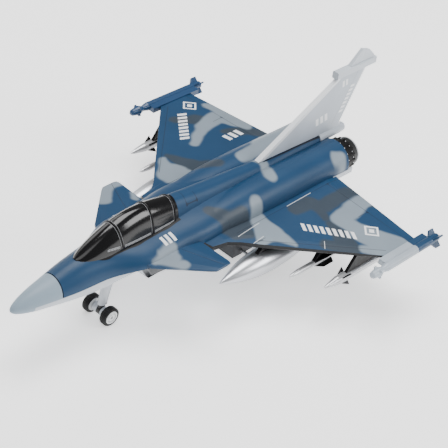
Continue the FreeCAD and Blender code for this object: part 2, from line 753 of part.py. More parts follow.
IDLER_Z = AXLE_Z + math.sqrt(centre_distance(PINION_TEETH, IDLER_TEETH) ** 2
                             - (IDLER_STATION - MAIN_AXLE_STATION) ** 2)
DRUM_Z = IDLER_Z + math.sqrt(centre_distance(PINION_TEETH, DRUM_TEETH) ** 2
                             - (DRUM_STATION - IDLER_STATION) ** 2)
IDLER_TURN = math.degrees(math.atan2(AXLE_Z - IDLER_Z, MAIN_AXLE_STATION - IDLER_STATION))
DRUM_LINE = math.degrees(math.atan2(DRUM_Z - IDLER_Z, DRUM_STATION - IDLER_STATION))


def meshing_turn(teeth, line_angle):
    """The turn that puts a tooth gap on the line of centres, seen from this gear."""
    return line_angle + 180.0 + 180.0 / teeth


def drive_pinion():
    toothed = gear(PINION_TEETH, -5.0, -2.6, MAIN_AXLE_STATION, AXLE_Z,
                   meshing_turn(PINION_TEETH, IDLER_TURN))
    return toothed.cut(cross_rod(-9, 9, MAIN_AXLE_STATION, AXLE_Z, AXLE_R))


def idler_gear():
    """A compound gear: the large wheel meets the axle pinion, the small one the spring drum."""
    large = gear(IDLER_TEETH, -4.9, -2.8, IDLER_STATION, IDLER_Z, IDLER_TURN)
    small = gear(PINION_TEETH, -2.9, 0.2, IDLER_STATION, IDLER_Z, DRUM_LINE)
    both = large.fuse(small).removeSplitter()
    return both.cut(cross_rod(-9, 9, IDLER_STATION, IDLER_Z, IDLER_SHAFT_R + RUNNING_FIT))


def spring_drum():
    """A toothed rim round an open cup that houses the mainspring."""
    rim = gear(DRUM_TEETH, -1.6, 0.4, DRUM_STATION, DRUM_Z, meshing_turn(DRUM_TEETH, DRUM_LINE))
    cup = cross_rod(0.3, 5.4, DRUM_STATION, DRUM_Z, 5.1)
    hollow = cross_rod(0.9, 6.4, DRUM_STATION, DRUM_Z, 4.5)
    drum = rim.fuse(cup).removeSplitter().cut(hollow)
    return drum.cut(cross_rod(-9, 9, DRUM_STATION, DRUM_Z, ARBOR_R + RUNNING_FIT))


def mainspring():
    """A flat strip wound in a spiral inside the drum."""
    strip = 0.22
    first, last, turns = 1.7, 4.2, 4.5
    steps = 60
    inner, outer = [], []
    for i in range(steps + 1):
        t = i / steps
        angle = 2.0 * math.pi * turns * t
        radius = first + (last - first) * t
        inner.append(Vector(1.3, radius * math.cos(angle), radius * math.sin(angle)))
        outer.append(Vector(1.3, (radius + strip) * math.cos(angle), (radius + strip) * math.sin(angle)))
    edges = []
    for points in (inner, outer):
        spline = Part.BSplineCurve()
        spline.interpolate(points)
        edges.append(spline.toShape())
    edges.append(Part.makeLine(inner[0], outer[0]))
    edges.append(Part.makeLine(inner[-1], outer[-1]))
    band = Part.Face(Part.Wire(Part.__sortEdges__(edges))).extrude(Vector(3.6, 0, 0))
    band.translate(at(0, DRUM_STATION, DRUM_Z))
    return band


def case_outline(inset):
    """Side view of the motor case: deep at the axle, shallow behind it."""
    front, rear = CASE_FRONT + inset, CASE_REAR - inset
    top, bottom = CASE_TOP - inset, CASE_BOTTOM + inset
    return [(front, top), (rear, top), (rear, -18.0), (136.0 - inset, bottom), (front, bottom)]


def case_block(x0, x1, inset):
    points = [at(x0, s, z) for s, z in case_outline(inset)]
    return Part.Face(Part.makePolygon(points + [points[0]])).extrude(Vector(x1 - x0, 0, 0))


def motor_space():
    """The well in the lower shell for the motor case and its screw heads."""
    well = case_block(-CASE_HALF_WIDTH, CASE_HALF_WIDTH, 0.0)
    for station, height in MOTOR_SCREWS:
        well = well.fuse(cross_rod(-8.6, 8.6, station, height, 1.5))
    return well


def motor_bearings():
    bores = [
        cross_rod(-9, 9, MAIN_AXLE_STATION, AXLE_Z, AXLE_R + RUNNING_FIT),
        cross_rod(-9, 9, IDLER_STATION, IDLER_Z, IDLER_SHAFT_R),
        cross_rod(-9, 9, DRUM_STATION, DRUM_Z, ARBOR_R),
    ]
    return bores[0].fuse(bores[1:])


def motor_case_half(side):
    """One half of the motor case, parted on the model's centre plane."""
    x0, x1 = sorted((0.0, side * CASE_HALF_WIDTH))
    w0, w1 = sorted((0.0, side * (CASE_HALF_WIDTH - CASE_WALL)))
    shell = case_block(x0, x1, 0.0).cut(case_block(w0, w1, CASE_WALL))
    for station, height in MOTOR_SCREWS:
        shell = shell.fuse(cross_rod(x0, x1, station, height, MOTOR_BOSS_R))
        shell = shell.cut(cross_rod(-9, 9, station, height, MOTOR_SCREW_R))
    return shell.cut(motor_bearings()).removeSplitter()


def motor_screws():
    screws = []
    for station, height in MOTOR_SCREWS:
        head = cross_rod(CASE_HALF_WIDTH, CASE_HALF_WIDTH + 0.9, station, height, 1.4)
        slot = box(CASE_HALF_WIDTH + 0.5, CASE_HALF_WIDTH + 1.2, station - 1.6, station + 1.6,
                   height - 0.2, height + 0.2)
        shank = cross_rod(-CASE_HALF_WIDTH, CASE_HALF_WIDTH, station, height, MOTOR_SCREW_R)
        screws.append(head.fuse(shank).cut(slot))
    return Part.makeCompound(screws)


def body_screws():
    screws = []
    for station, face in BODY_SCREWS:
        recess = face + 0.7
        head = rod(at(0, station, face), at(0, station, face + SCREW_HEAD_HEIGHT), SCREW_HEAD_R)
        cross = box(-1.4, 1.4, station - 0.25, station + 0.25, face - 0.2, recess)
        cross = cross.fuse(box(-0.25, 0.25, station - 1.4, station + 1.4, face - 0.2, recess))
        shank = rod(at(0, station, recess), at(0, station, SCREW_TIP), SCREW_R)
        screws.append(head.fuse(shank).cut(cross).removeSplitter())
    return Part.makeCompound(screws)


# ---- export ----

def save(name, shape):
    shape.exportStep(os.path.join("parts", name + ".step"))


def save_pair(name, port_shape):
    save(name + "_left", port_shape)
    save(name + "_right", mirrored(port_shape))


def build():
    os.makedirs("parts", exist_ok=True)
    wing = wing_plate()
    canards = canard_plate()
    bubble = canopy_bubble()
    upper = upper_fuselage(wing, canards, bubble, fin_tongue())
    lower = lower_fuselage(wing, canards)
    save("upper_fuselage", upper)
    save("lower_fuselage", lower)
    save("canopy", bubble.cut(canopy_hollow()))
    save("wing_plate", wing)
    save("canard_plate", canards)
    save("tail_fin", tail_fin())
    for name, side in (("left", 1), ("right", -1)):
        save("nozzle_" + name, nozzle_ring(side))
        save("nozzle_petals_" + name, nozzle_petals(side))
        save("main_gear_leg_" + name, main_leg(side, lower))
        save("motor_case_" + name, motor_case_half(side))
    tank = drop_tank()
    slim = inner_missile()
    fat = outer_missile()
    save_pair("tip_missile", tip_missile())
    save_pair("drop_tank", tank)
    save_pair("tank_pylon", tank_pylon(wing, tank))
    save_pair("inner_missile", slim)
    save_pair("inner_pylon", missile_pylon(INNER_X, INNER_Z, INNER_R, 128.0, 142.0, slim, wing))
    save_pair("outer_missile", fat)
    save_pair("outer_pylon", missile_pylon(OUTER_X, OUTER_Z, OUTER_R, 133.0, 150.0, fat, wing))
    save("nose_gear_leg", nose_leg())
    save("nose_axle", cross_rod(-NOSE_WHEEL_OUT + 0.5, NOSE_WHEEL_OUT - 0.5, NOSE_AXLE_STATION,
                                AXLE_Z, AXLE_R))
    save_pair("nose_tyre", tyre(NOSE_WHEEL_IN, NOSE_WHEEL_OUT, NOSE_AXLE_STATION))
    save_pair("nose_hub", hub(NOSE_WHEEL_IN, NOSE_WHEEL_OUT, NOSE_AXLE_STATION, 1))
    save("main_axle", cross_rod(-MAIN_WHEEL_OUT + 0.5, MAIN_WHEEL_OUT - 0.5, MAIN_AXLE_STATION,
                                AXLE_Z, AXLE_R))
    save_pair("main_tyre", tyre(MAIN_WHEEL_IN, MAIN_WHEEL_OUT, MAIN_AXLE_STATION))
    save_pair("main_hub", hub(MAIN_WHEEL_IN, MAIN_WHEEL_OUT, MAIN_AXLE_STATION, 1))
    save("drive_pinion", drive_pinion())
    save("idler_gear", idler_gear())
    save("idler_shaft", cross_rod(-7.5, 7.5, IDLER_STATION, IDLER_Z, IDLER_SHAFT_R))
    save("spring_drum", spring_drum())
    save("drum_arbor", cross_rod(-7.5, 7.5, DRUM_STATION, DRUM_Z, ARBOR_R))
    save("mainspring", mainspring())
    save("motor_screws", motor_screws())
    save("body_screws", body_screws())


build()
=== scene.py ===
# %% [markdown]
# # A toy jet fighter, looked at as a lesson in cells
# The toy is a pull-back jet about 21 cm long: two moulded fuselage shells that clamp one wing
# plate, a canard plate, a fin, a black canopy, stores under the wings and small rolling wheels.
# The hard shapes come from the imported model. This lesson gives each of them its finish and adds
# the small things that only show in a good look: tread, nozzle studs, canopy frames and spray paint.

# %% Load the imported model
import math

import bpy
from mathutils import Matrix, Vector
from mathutils.bvhtree import BVHTree


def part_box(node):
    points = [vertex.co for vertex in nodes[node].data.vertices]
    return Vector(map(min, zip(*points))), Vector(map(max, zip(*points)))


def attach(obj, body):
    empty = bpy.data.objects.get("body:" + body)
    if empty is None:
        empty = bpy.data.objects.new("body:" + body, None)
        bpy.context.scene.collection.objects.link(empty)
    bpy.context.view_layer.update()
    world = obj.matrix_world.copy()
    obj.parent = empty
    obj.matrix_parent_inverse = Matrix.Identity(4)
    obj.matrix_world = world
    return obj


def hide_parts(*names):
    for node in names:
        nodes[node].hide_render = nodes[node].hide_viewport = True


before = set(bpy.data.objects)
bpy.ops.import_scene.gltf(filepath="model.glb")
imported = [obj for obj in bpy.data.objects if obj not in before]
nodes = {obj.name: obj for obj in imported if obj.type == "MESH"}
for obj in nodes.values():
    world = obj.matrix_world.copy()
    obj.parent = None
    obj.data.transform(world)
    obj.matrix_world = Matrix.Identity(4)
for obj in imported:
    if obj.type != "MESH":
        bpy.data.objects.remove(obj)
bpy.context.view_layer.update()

# %% [markdown]
# All sizes below are written in millimetres, because that is how a toy is measured, and are
# turned into metres in one place. Stations are distances aft of the nose tip, and heights are
# measured from the nose axis, so a maker can read them off the toy with a ruler.

# %% Measures and colours
MM = 0.001
PER_METRE = 1000.0
NOSE_Y = -104.8
NOSE_HEIGHT = 28.8


def place(x, station, height):
    """A point in metres from a distance to port, a station and a height in millimetres."""
    return Vector((x * MM, (station + NOSE_Y) * MM, (height + NOSE_HEIGHT) * MM))


def paint(red, green, blue):
    """A colour as seen on screen, 0 to 255, turned into the linear values that shaders use."""
    channels = []
    for value in (red, green, blue):
        v = value / 255
        channels.append(v / 12.92 if v <= 0.04045 else ((v + 0.055) / 1.055) ** 2.4)
    return (*channels, 1.0)


print("nose tip at", tuple(round(c, 4) for c in place(0, 0, 0)))

# %% [markdown]
# ## Camera
# The toy is seen from ahead and to port, from about 37 degrees up, with the camera tilted a
# little. A camera could be aimed with a Track To constraint, but a tilt needs a roll as well, so
# the three axes of the camera are worked out from azimuth, elevation and roll instead.

# %% Camera
azimuth, elevation, roll = math.radians(38.04), math.radians(36.66), math.radians(9.91)
LENS, SENSOR_WIDTH, FAR_CLIP = 119.66, 36, 10
AIM_STATION, AIM_HEIGHT = 100, 5
SHIFT_RIGHT, SHIFT_DOWN, DISTANCE = 12.59, 6.07, 631.45
back = Vector((math.sin(azimuth) * math.cos(elevation), -math.cos(azimuth) * math.cos(elevation),
               math.sin(elevation)))
level = Vector((0, 0, 1)).cross(back).normalized()
upright = back.cross(level)
right = level * math.cos(roll) + upright * math.sin(roll)
up = upright * math.cos(roll) - level * math.sin(roll)

camera = bpy.data.objects.new("camera", bpy.data.cameras.new("camera"))
bpy.context.scene.collection.objects.link(camera)
camera.data.sensor_width = SENSOR_WIDTH
camera.data.lens = LENS
camera.data.clip_end = FAR_CLIP
camera.location = place(0, AIM_STATION, AIM_HEIGHT) + (
    right * SHIFT_RIGHT - up * SHIFT_DOWN + back * DISTANCE) * MM
camera.rotation_mode = "QUATERNION"
camera.rotation_quaternion = Matrix((right, up, back)).transposed().to_quaternion()
bpy.context.scene.camera = camera
print("camera stands", round(camera.location.length, 3), "m from the origin")

# %% [markdown]
# ## Floor and light
# A plain pale floor takes a soft shadow. One large lamp overhead draws the long soft highlights
# along the barrels and a low one behind the port wing puts a glint on the canopy. Two weak ones
# fill the shadows. The world is kept dim, because a bright even world washes black plastic grey;
# the floor glows a little instead, which lights the underside as a white table does.

# %% Floor
FLOOR_HALF = 4.0
FLOOR_GREY, FLOOR_ROUGHNESS, FLOOR_GLOW = 0.93, 0.9, 0.85
floor_corners = [(x * FLOOR_HALF, y * FLOOR_HALF, 0) for x, y in ((-1, -1), (1, -1), (1, 1), (-1, 1))]
floor_mesh = bpy.data.meshes.new("floor")
floor_mesh.from_pydata(floor_corners, [], [(0, 1, 2, 3)])
floor = bpy.data.objects.new("floor", floor_mesh)
bpy.context.scene.collection.objects.link(floor)
floor_finish = bpy.data.materials.new("floor_finish")
floor_finish.use_nodes = True
floor_shader = floor_finish.node_tree.nodes["Principled BSDF"]
floor_shader.inputs["Base Color"].default_value = (FLOOR_GREY, FLOOR_GREY, FLOOR_GREY, 1)
floor_shader.inputs["Roughness"].default_value = FLOOR_ROUGHNESS
floor_shader.inputs["Emission Color"].default_value = (1, 1, 1, 1)
floor_shader.inputs["Emission Strength"].default_value = FLOOR_GLOW
floor_mesh.materials.append(floor_finish)
print("floor:", 2 * FLOOR_HALF, "m square")

# %% Lamps
# name, place and side of the square in metres, power in watts
LAMPS = [
    ("overhead", (-0.1, 0.15, 0.9), 0.6, 10.5),
    ("port_glint", (0.62, 0.42, 0.42), 0.36, 4.2),
    ("ahead", (0.35, -0.6, 0.9), 0.6, 2.4),
    ("starboard_side", (-0.8, 0.1, 0.5), 0.5, 2.0),
]
WORLD_STRENGTH = 0.3


def lamp(name, where, size, watts):
    """A square softbox that faces the middle of the toy."""
    data = bpy.data.lights.new(name, "AREA")
    data.shape, data.size, data.energy = "SQUARE", size, watts
    lamp_object = bpy.data.objects.new(name, data)
    lamp_object.location = where
    lamp_object.rotation_mode = "QUATERNION"
    lamp_object.rotation_quaternion = (Vector(where) - place(0, AIM_STATION, 0)).to_track_quat("Z", "Y")
    bpy.context.scene.collection.objects.link(lamp_object)


for lamp_plan in LAMPS:
    lamp(*lamp_plan)
world = bpy.data.worlds.new("studio")
world.use_nodes = True
world.node_tree.nodes["Background"].inputs["Color"].default_value = (1, 1, 1, 1)
world.node_tree.nodes["Background"].inputs["Strength"].default_value = WORLD_STRENGTH
bpy.context.scene.world = world

# %% [markdown]
# ## A small shader writing desk
# Shader graphs are wired here with three helpers: one adds a node and fills its sockets, one
# does arithmetic, and one opens a new node group with named sockets. A socket may be given a
# number, which is set on it, or another node's output, which is wired to it.

# %% Shader helpers
def node(tree, kind, settings=None, **sockets):
    """Adds a node; sockets are given by name, with underscores for spaces, or by _0, _1 ..."""
    made = tree.nodes.new(kind)
    for key, value in (settings or {}).items():
        setattr(made, key, value)
    for key, value in sockets.items():
        place_in_list = key[1:].isdigit()
        socket = made.inputs[int(key[1:]) if place_in_list else key.replace("_", " ")]
        if isinstance(value, bpy.types.NodeSocket):
            tree.links.new(value, socket)
        else:
            socket.default_value = value
    return made


def maths(tree, operation, *values, clamp=False):
    """One arithmetic node; returns its output."""
    made = node(tree, "ShaderNodeMath", {"operation": operation, "use_clamp": clamp},
                **{f"_{i}": v for i, v in enumerate(values)})
    return made.outputs[0]


def group(name, inputs, outputs):
    """A new shader node group, with its input and output nodes."""
    tree = bpy.data.node_groups.new(name, "ShaderNodeTree")
    kinds = {"vector": "NodeSocketVector", "value": "NodeSocketFloat", "colour": "NodeSocketColor"}
    for label, kind, default in inputs:
        socket = tree.interface.new_socket(label, in_out="INPUT", socket_type=kinds[kind])
        if default is not None:
            socket.default_value = default
    for label, kind in outputs:
        tree.interface.new_socket(label, in_out="OUTPUT", socket_type=kinds[kind])
    return tree, tree.nodes.new("NodeGroupInput"), tree.nodes.new("NodeGroupOutput")


def use(tree, group_tree, **sockets):
    """Places a node group in a tree and fills its inputs."""
    made = tree.nodes.new("ShaderNodeGroup")
    made.node_tree = group_tree
    for key, value in sockets.items():
        socket = made.inputs[key.replace("_", " ")]
        if isinstance(value, bpy.types.NodeSocket):
            tree.links.new(value, socket)
        else:
            socket.default_value = value
    return made


print("shader helpers ready")

# %% [markdown]
# ### Moulded skin
# Every plastic part of a toy shares one look close up: a faint orange-peel ripple, cloudy
# variation in colour, and fine handling scuffs that change the gloss. One group makes the three
# maps, and each finish uses them in its own strength. Ripple, cloud and scuffs are noise read at
# three scales in Object coordinates, so they stay on the part wherever it goes.

# %% Moulded skin group
skin_group, skin_in, skin_out = group(
    "moulded_skin",
    [("Ripple Size", "value", 0.5), ("Cloud Size", "value", 14.0), ("Scuffs", "value", 0.3)],
    [("Height", "value"), ("Cloud", "value"), ("Scuff", "value")])
where = skin_group.nodes.new("ShaderNodeTexCoord").outputs["Object"]
ripple_scale = maths(skin_group, "DIVIDE", PER_METRE, skin_in.outputs["Ripple Size"])
ripple = node(skin_group, "ShaderNodeTexNoise", Vector=where, Scale=ripple_scale, Detail=2.0)
cloud_scale = maths(skin_group, "DIVIDE", PER_METRE, skin_in.outputs["Cloud Size"])
cloud = node(skin_group, "ShaderNodeTexNoise", Vector=where, Scale=cloud_scale, Detail=4.0)
stretch = node(skin_group, "ShaderNodeMapping", Vector=where, Rotation=(0.3, 0.2, 0.5),
               Scale=(2500.0, 160.0, 900.0))
scratches = node(skin_group, "ShaderNodeTexNoise", Vector=stretch.outputs[0], Scale=1.0, Detail=3.0)
thin = node(skin_group, "ShaderNodeMapRange", {"interpolation_type": "SMOOTHSTEP"},
            _0=scratches.outputs[0], _1=0.6, _2=0.78, _3=0.0, _4=1.0)
scuff = maths(skin_group, "MULTIPLY", thin.outputs[0], skin_in.outputs["Scuffs"])
skin_group.links.new(ripple.outputs[0], skin_out.inputs["Height"])
skin_group.links.new(cloud.outputs[0], skin_out.inputs["Cloud"])
skin_group.links.new(scuff, skin_out.inputs["Scuff"])
print("moulded_skin:", len(skin_group.nodes), "nodes")

# %% [markdown]
# ### Strokes of a spray gun
# The camouflage is sprayed in soft-edged patches. A patch could be painted by hand on an image,
# but an image is tied to one mesh and one resolution. A stroke here is a capsule: a line with a
# round brush that may widen on its way. The group gives the distance from the stroke's edge,
# negative inside, and strokes are joined by taking the smallest distance of all.

# %% Brush stroke group
stroke_group, stroke_in, stroke_out = group(
    "brush_stroke",
    [("Point", "vector", None), ("Start", "vector", None), ("End", "vector", None),
     ("Start Width", "value", 1.0), ("End Width", "value", 1.0)],
    [("Distance", "value")])


def arrow(tree, operation, a, b=None, scale=None):
    """One vector arithmetic node."""
    sockets = {"_0": a}
    if b is not None:
        sockets["_1"] = b
    if scale is not None:
        sockets["Scale"] = scale
    return node(tree, "ShaderNodeVectorMath", {"operation": operation}, **sockets)


to_point = arrow(stroke_group, "SUBTRACT", stroke_in.outputs["Point"], stroke_in.outputs["Start"])
along = arrow(stroke_group, "SUBTRACT", stroke_in.outputs["End"], stroke_in.outputs["Start"])
reach = arrow(stroke_group, "DOT_PRODUCT", to_point.outputs[0], along.outputs[0]).outputs["Value"]
length2 = arrow(stroke_group, "DOT_PRODUCT", along.outputs[0], along.outputs[0]).outputs["Value"]
share = maths(stroke_group, "DIVIDE", reach, length2, clamp=True)
nearest = arrow(stroke_group, "SCALE", along.outputs[0], scale=share)
gap = arrow(stroke_group, "DISTANCE", to_point.outputs[0], nearest.outputs[0]).outputs["Value"]
widening = maths(stroke_group, "SUBTRACT", stroke_in.outputs["End Width"],
                 stroke_in.outputs["Start Width"])
width = maths(stroke_group, "MULTIPLY_ADD", widening, share, stroke_in.outputs["Start Width"])
stroke_group.links.new(maths(stroke_group, "SUBTRACT", gap, width), stroke_out.inputs["Distance"])
print("brush_stroke:", len(stroke_group.nodes), "nodes")

# %% [markdown]
# ### The camouflage plan
# The plan lists each stroke as a maker would spray it from above: where the gun starts and stops,
# in distance to port and station, and how wide the brush is at each end. Slate goes on the blue
# base first, pale grey over it, and a little blue again over the outer port wing.

# %% Camouflage plan
PALE_STROKES = [
    (16.5, 61.0, 17.6, 69.0, 1.2, 4.2), (17.5, 63.5, 24.0, 69.4, 1.6, 2.6),
    (14.8, 65.5, 14.8, 71.5, 1.6, 3.0), (-34.5, 77.0, -28.0, 73.0, 6.0, 3.6),
    (-33.5, 80.0, -33.5, 88.0, 2.2, 2.2), (-24.0, 86.5, -20.5, 84.5, 1.0, 1.6),
    (17.5, 119.6, 29.0, 116.0, 3.4, 6.0), (29.5, 114.0, 31.5, 108.0, 5.0, 2.2),
    (30.0, 117.0, 41.0, 119.6, 5.0, 1.0), (38.0, 168.5, 41.0, 151.0, 4.4, 4.6),
    (41.0, 149.5, 54.0, 150.0, 4.2, 5.0), (54.0, 150.5, 68.0, 154.0, 6.5, 8.6),
    (60.5, 142.0, 66.0, 148.0, 2.2, 4.0), (-25.5, 110.0, -26.0, 114.0, 5.3, 5.3),
    (-28.0, 111.5, -36.0, 116.3, 4.6, 1.6), (-22.0, 107.0, -22.0, 118.0, 1.8, 1.8),
    (-36.5, 137.0, -44.0, 150.0, 2.4, 3.0), (-44.5, 150.0, -45.5, 160.0, 3.4, 4.6),
    (-56.0, 166.0, -34.0, 168.0, 2.4, 3.6), (-47.0, 162.0, -38.0, 166.0, 4.4, 4.2),
    (-19.5, 162.0, -19.0, 172.0, 2.4, 3.6), (-7.5, 136.0, -7.8, 150.0, 3.2, 4.6),
    (-9.5, 151.0, -12.0, 172.0, 5.0, 8.5), (-12.0, 172.0, -12.0, 190.0, 8.5, 8.5),
    (-16.0, 103.0, -16.2, 110.0, 1.6, 1.2), (-1.5, 137.5, 3.0, 139.5, 2.0, 2.2),
    (3.5, 139.0, 10.0, 134.8, 2.2, 2.8), (15.4, 173.0, 17.0, 177.0, 2.4, 2.6),
]
SLATE_STROKES = [
    (10.0, 97.0, 16.0, 102.0, 2.6, 3.4), (17.5, 102.0, 19.0, 111.0, 3.4, 4.0),
    (21.0, 104.0, 24.5, 108.0, 4.4, 3.2), (25.0, 137.0, 25.5, 147.0, 3.2, 4.2),
    (27.0, 147.0, 37.0, 144.5, 3.4, 2.0), (30.5, 150.0, 30.0, 169.0, 4.2, 3.8),
    (49.0, 131.0, 56.0, 138.0, 3.0, 4.6), (53.0, 139.0, 41.0, 143.6, 4.8, 2.2),
    (-37.0, 119.5, -25.0, 123.0, 1.4, 5.0), (-23.5, 122.0, -21.5, 131.0, 4.0, 2.6),
    (-56.0, 144.0, -52.0, 150.0, 2.8, 3.4), (-51.0, 152.0, -45.0, 157.5, 4.0, 3.0),
    (-35.5, 155.5, -31.0, 162.0, 1.8, 3.4), (-30.0, 165.0, -24.0, 169.0, 3.8, 3.4),
    (-16.5, 116.0, -10.5, 123.0, 3.6, 3.2), (44.0, 168.5, 50.0, 167.0, 1.8, 1.4),
]
BLUE_STROKES = [(49.0, 158.0, 47.5, 167.0, 2.2, 4.4), (50.0, 164.0, 68.0, 166.5, 3.2, 3.6)]
PANEL_LINES = [
    (16.8, 76.0, 34.0, 83.3), (-16.8, 76.0, -34.0, 83.3), (-2.5, 88.7, 4.6, 89.0),
    (4.6, 89.0, 4.5, 95.4), (4.5, 95.4, 1.6, 94.7), (21.6, 104.0, 20.7, 171.0),
    (-20.8, 104.0, -20.7, 171.0), (21.0, 163.6, 68.0, 163.2), (-21.0, 163.6, -68.0, 163.2),
    (29.6, 108.0, 66.5, 149.5), (-29.6, 108.0, -66.5, 149.5), (30.4, 106.5, 30.6, 112.0),
    (44.5, 157.5, 44.8, 163.4), (-44.5, 157.5, -44.8, 163.4),
]
print(len(PALE_STROKES) + len(SLATE_STROKES) + len(BLUE_STROKES), "strokes,",
      len(PANEL_LINES), "panel lines")

# %% [markdown]
# One group turns the plan into masks. The point is shaken by a slow noise first, so that no
# patch keeps a ruler's edge, and the distance is softened over a millimetre, like overspray.

# %% Camouflage group
SHAKE_SCALE, SHAKE_WIDTH = 0.11, 2.6
STROKE_BLEND = 1.6
PANEL_LINE_WIDTH = 0.12
camo_group, camo_in, camo_out = group(
    "camouflage", [("Overspray", "value", 0.5)],
    [("Slate", "value"), ("Pale", "value"), ("Blue", "value"), ("Line", "value"),
     ("Station", "value"), ("Plan", "vector")])
spot = node(camo_group, "ShaderNodeSeparateXYZ",
            _0=camo_group.nodes.new("ShaderNodeTexCoord").outputs["Object"])
plan_x = maths(camo_group, "MULTIPLY", spot.outputs[0], PER_METRE)
station = maths(camo_group, "MULTIPLY_ADD", spot.outputs[1], PER_METRE, -NOSE_Y)
plan = node(camo_group, "ShaderNodeCombineXYZ", _0=plan_x, _1=station, _2=0.0)
shake = node(camo_group, "ShaderNodeTexNoise", Vector=plan.outputs[0], Scale=SHAKE_SCALE, Detail=1.0)
centred = arrow(camo_group, "SUBTRACT", shake.outputs["Color"], (0.5, 0.5, 0.5))
push = arrow(camo_group, "MULTIPLY", centred.outputs[0], (SHAKE_WIDTH, SHAKE_WIDTH, 0.0))
shaken = arrow(camo_group, "ADD", plan.outputs[0], push.outputs[0])


def strokes_mask(tree, point, strokes, softness):
    """Joins strokes by their smallest distance and softens the edge."""
    distance = None
    for x0, s0, x1, s1, w0, w1 in strokes:
        one = use(tree, stroke_group, Point=point, Start=(x0, s0, 0), End=(x1, s1, 0),
                  Start_Width=w0, End_Width=w1).outputs[0]
        distance = one if distance is None else maths(tree, "SMOOTH_MIN", distance, one, STROKE_BLEND)
    soft = node(tree, "ShaderNodeMapRange", {"interpolation_type": "SMOOTHSTEP"}, _0=distance,
                _1=softness, _2=maths(tree, "MULTIPLY", softness, -1.0), _3=0.0, _4=1.0)
    return soft.outputs[0]


overspray = camo_in.outputs["Overspray"]
for label, strokes in (("Slate", SLATE_STROKES), ("Pale", PALE_STROKES), ("Blue", BLUE_STROKES)):
    mask = strokes_mask(camo_group, shaken.outputs[0], strokes, overspray)
    camo_group.links.new(mask, camo_out.inputs[label])
fine = node(camo_group, "ShaderNodeValue").outputs[0]
fine.default_value = PANEL_LINE_WIDTH
line_strokes = [(*line, PANEL_LINE_WIDTH, PANEL_LINE_WIDTH) for line in PANEL_LINES]
camo_group.links.new(strokes_mask(camo_group, plan.outputs[0], line_strokes, fine),
                     camo_out.inputs["Line"])
camo_group.links.new(station, camo_out.inputs["Station"])
camo_group.links.new(plan.outputs[0], camo_out.inputs["Plan"])
print("camouflage:", len(camo_group.nodes), "nodes")

# %% [markdown]
# ### Plain marks
# The toy carries white stencilled marks. Here they are plain: rows of slanted bars and a hollow
# diamond, with no letters or numbers. A row of bars is a box in its own slanted axes, cut into
# stripes by the fraction of its length; the diamond is the sum of two absolute distances.

# %% Bar row group
BAR_SLANT, BAR_SHARE = 0.06, 0.6
bar_group, bar_in, bar_out = group(
    "bar_row", [("Point", "vector", None), ("Centre", "vector", None), ("Along", "vector", None),
                ("Across", "vector", None), ("Count", "value", 6.0)], [("Mask", "value")])
offset = arrow(bar_group, "SUBTRACT", bar_in.outputs["Point"], bar_in.outputs["Centre"])
u = arrow(bar_group, "DOT_PRODUCT", offset.outputs[0], bar_in.outputs["Along"]).outputs["Value"]
v = arrow(bar_group, "DOT_PRODUCT", offset.outputs[0], bar_in.outputs["Across"]).outputs["Value"]
slanted = maths(bar_group, "MULTIPLY_ADD", v, BAR_SLANT, u)
from_end = maths(bar_group, "ADD", slanted, 0.5)
stripe = maths(bar_group, "FRACT", maths(bar_group, "MULTIPLY", from_end, bar_in.outputs["Count"]))
in_length = maths(bar_group, "LESS_THAN", maths(bar_group, "ABSOLUTE", slanted), 0.5)
in_height = maths(bar_group, "LESS_THAN", maths(bar_group, "ABSOLUTE", v), 0.5)
inside = maths(bar_group, "MULTIPLY", in_length, in_height)
bar_mask = maths(bar_group, "MULTIPLY", inside, maths(bar_group, "LESS_THAN", stripe, BAR_SHARE))
bar_group.links.new(bar_mask, bar_out.inputs["Mask"])
print("bar_row:", len(bar_group.nodes), "nodes")

# %% Hollow diamond group
RIM_MIDDLE, RIM_HALF, CORE_END = 0.86, 0.14, 0.36
diamond_group, diamond_in, diamond_out = group(
    "hollow_diamond", [("Point", "vector", None), ("Centre", "vector", None), ("Size", "value", 3.6)],
    [("Mask", "value")])
to_centre = arrow(diamond_group, "SUBTRACT", diamond_in.outputs["Point"], diamond_in.outputs["Centre"])
away = arrow(diamond_group, "ABSOLUTE", to_centre.outputs[0])
parts = node(diamond_group, "ShaderNodeSeparateXYZ", _0=away.outputs[0])
both_ways = maths(diamond_group, "ADD", parts.outputs[0], parts.outputs[1])
ratio = maths(diamond_group, "DIVIDE", both_ways, diamond_in.outputs["Size"])
rim = maths(diamond_group, "COMPARE", ratio, RIM_MIDDLE, RIM_HALF)
core = maths(diamond_group, "LESS_THAN", ratio, CORE_END)
diamond_group.links.new(maths(diamond_group, "MAXIMUM", rim, core), diamond_out.inputs["Mask"])


def bar_row(tree, point, centre, direction, length, height, count):
    """A row of bars centred on a point and running in a direction, in millimetres."""
    dx, dy = Vector(direction).normalized()
    return use(tree, bar_group, Point=point, Centre=(*centre, 0),
               Along=(dx / length, dy / length, 0), Across=(-dy / height, dx / height, 0),
               Count=count).outputs[0]


print("marks:", len(bar_group.nodes) + len(diamond_group.nodes), "nodes")

# %% [markdown]
# ### The finish desk
# Each finish starts the same way: a Principled shader, the moulded skin, and a Bump node fed by
# it. Colours are then laid over each other with Mix nodes in the order a painter would use.

# %% Finish helpers
SCUFF_DULLING, CLOUD_DULLING = 0.35, 0.06
BUMP_DEPTH = 0.0002


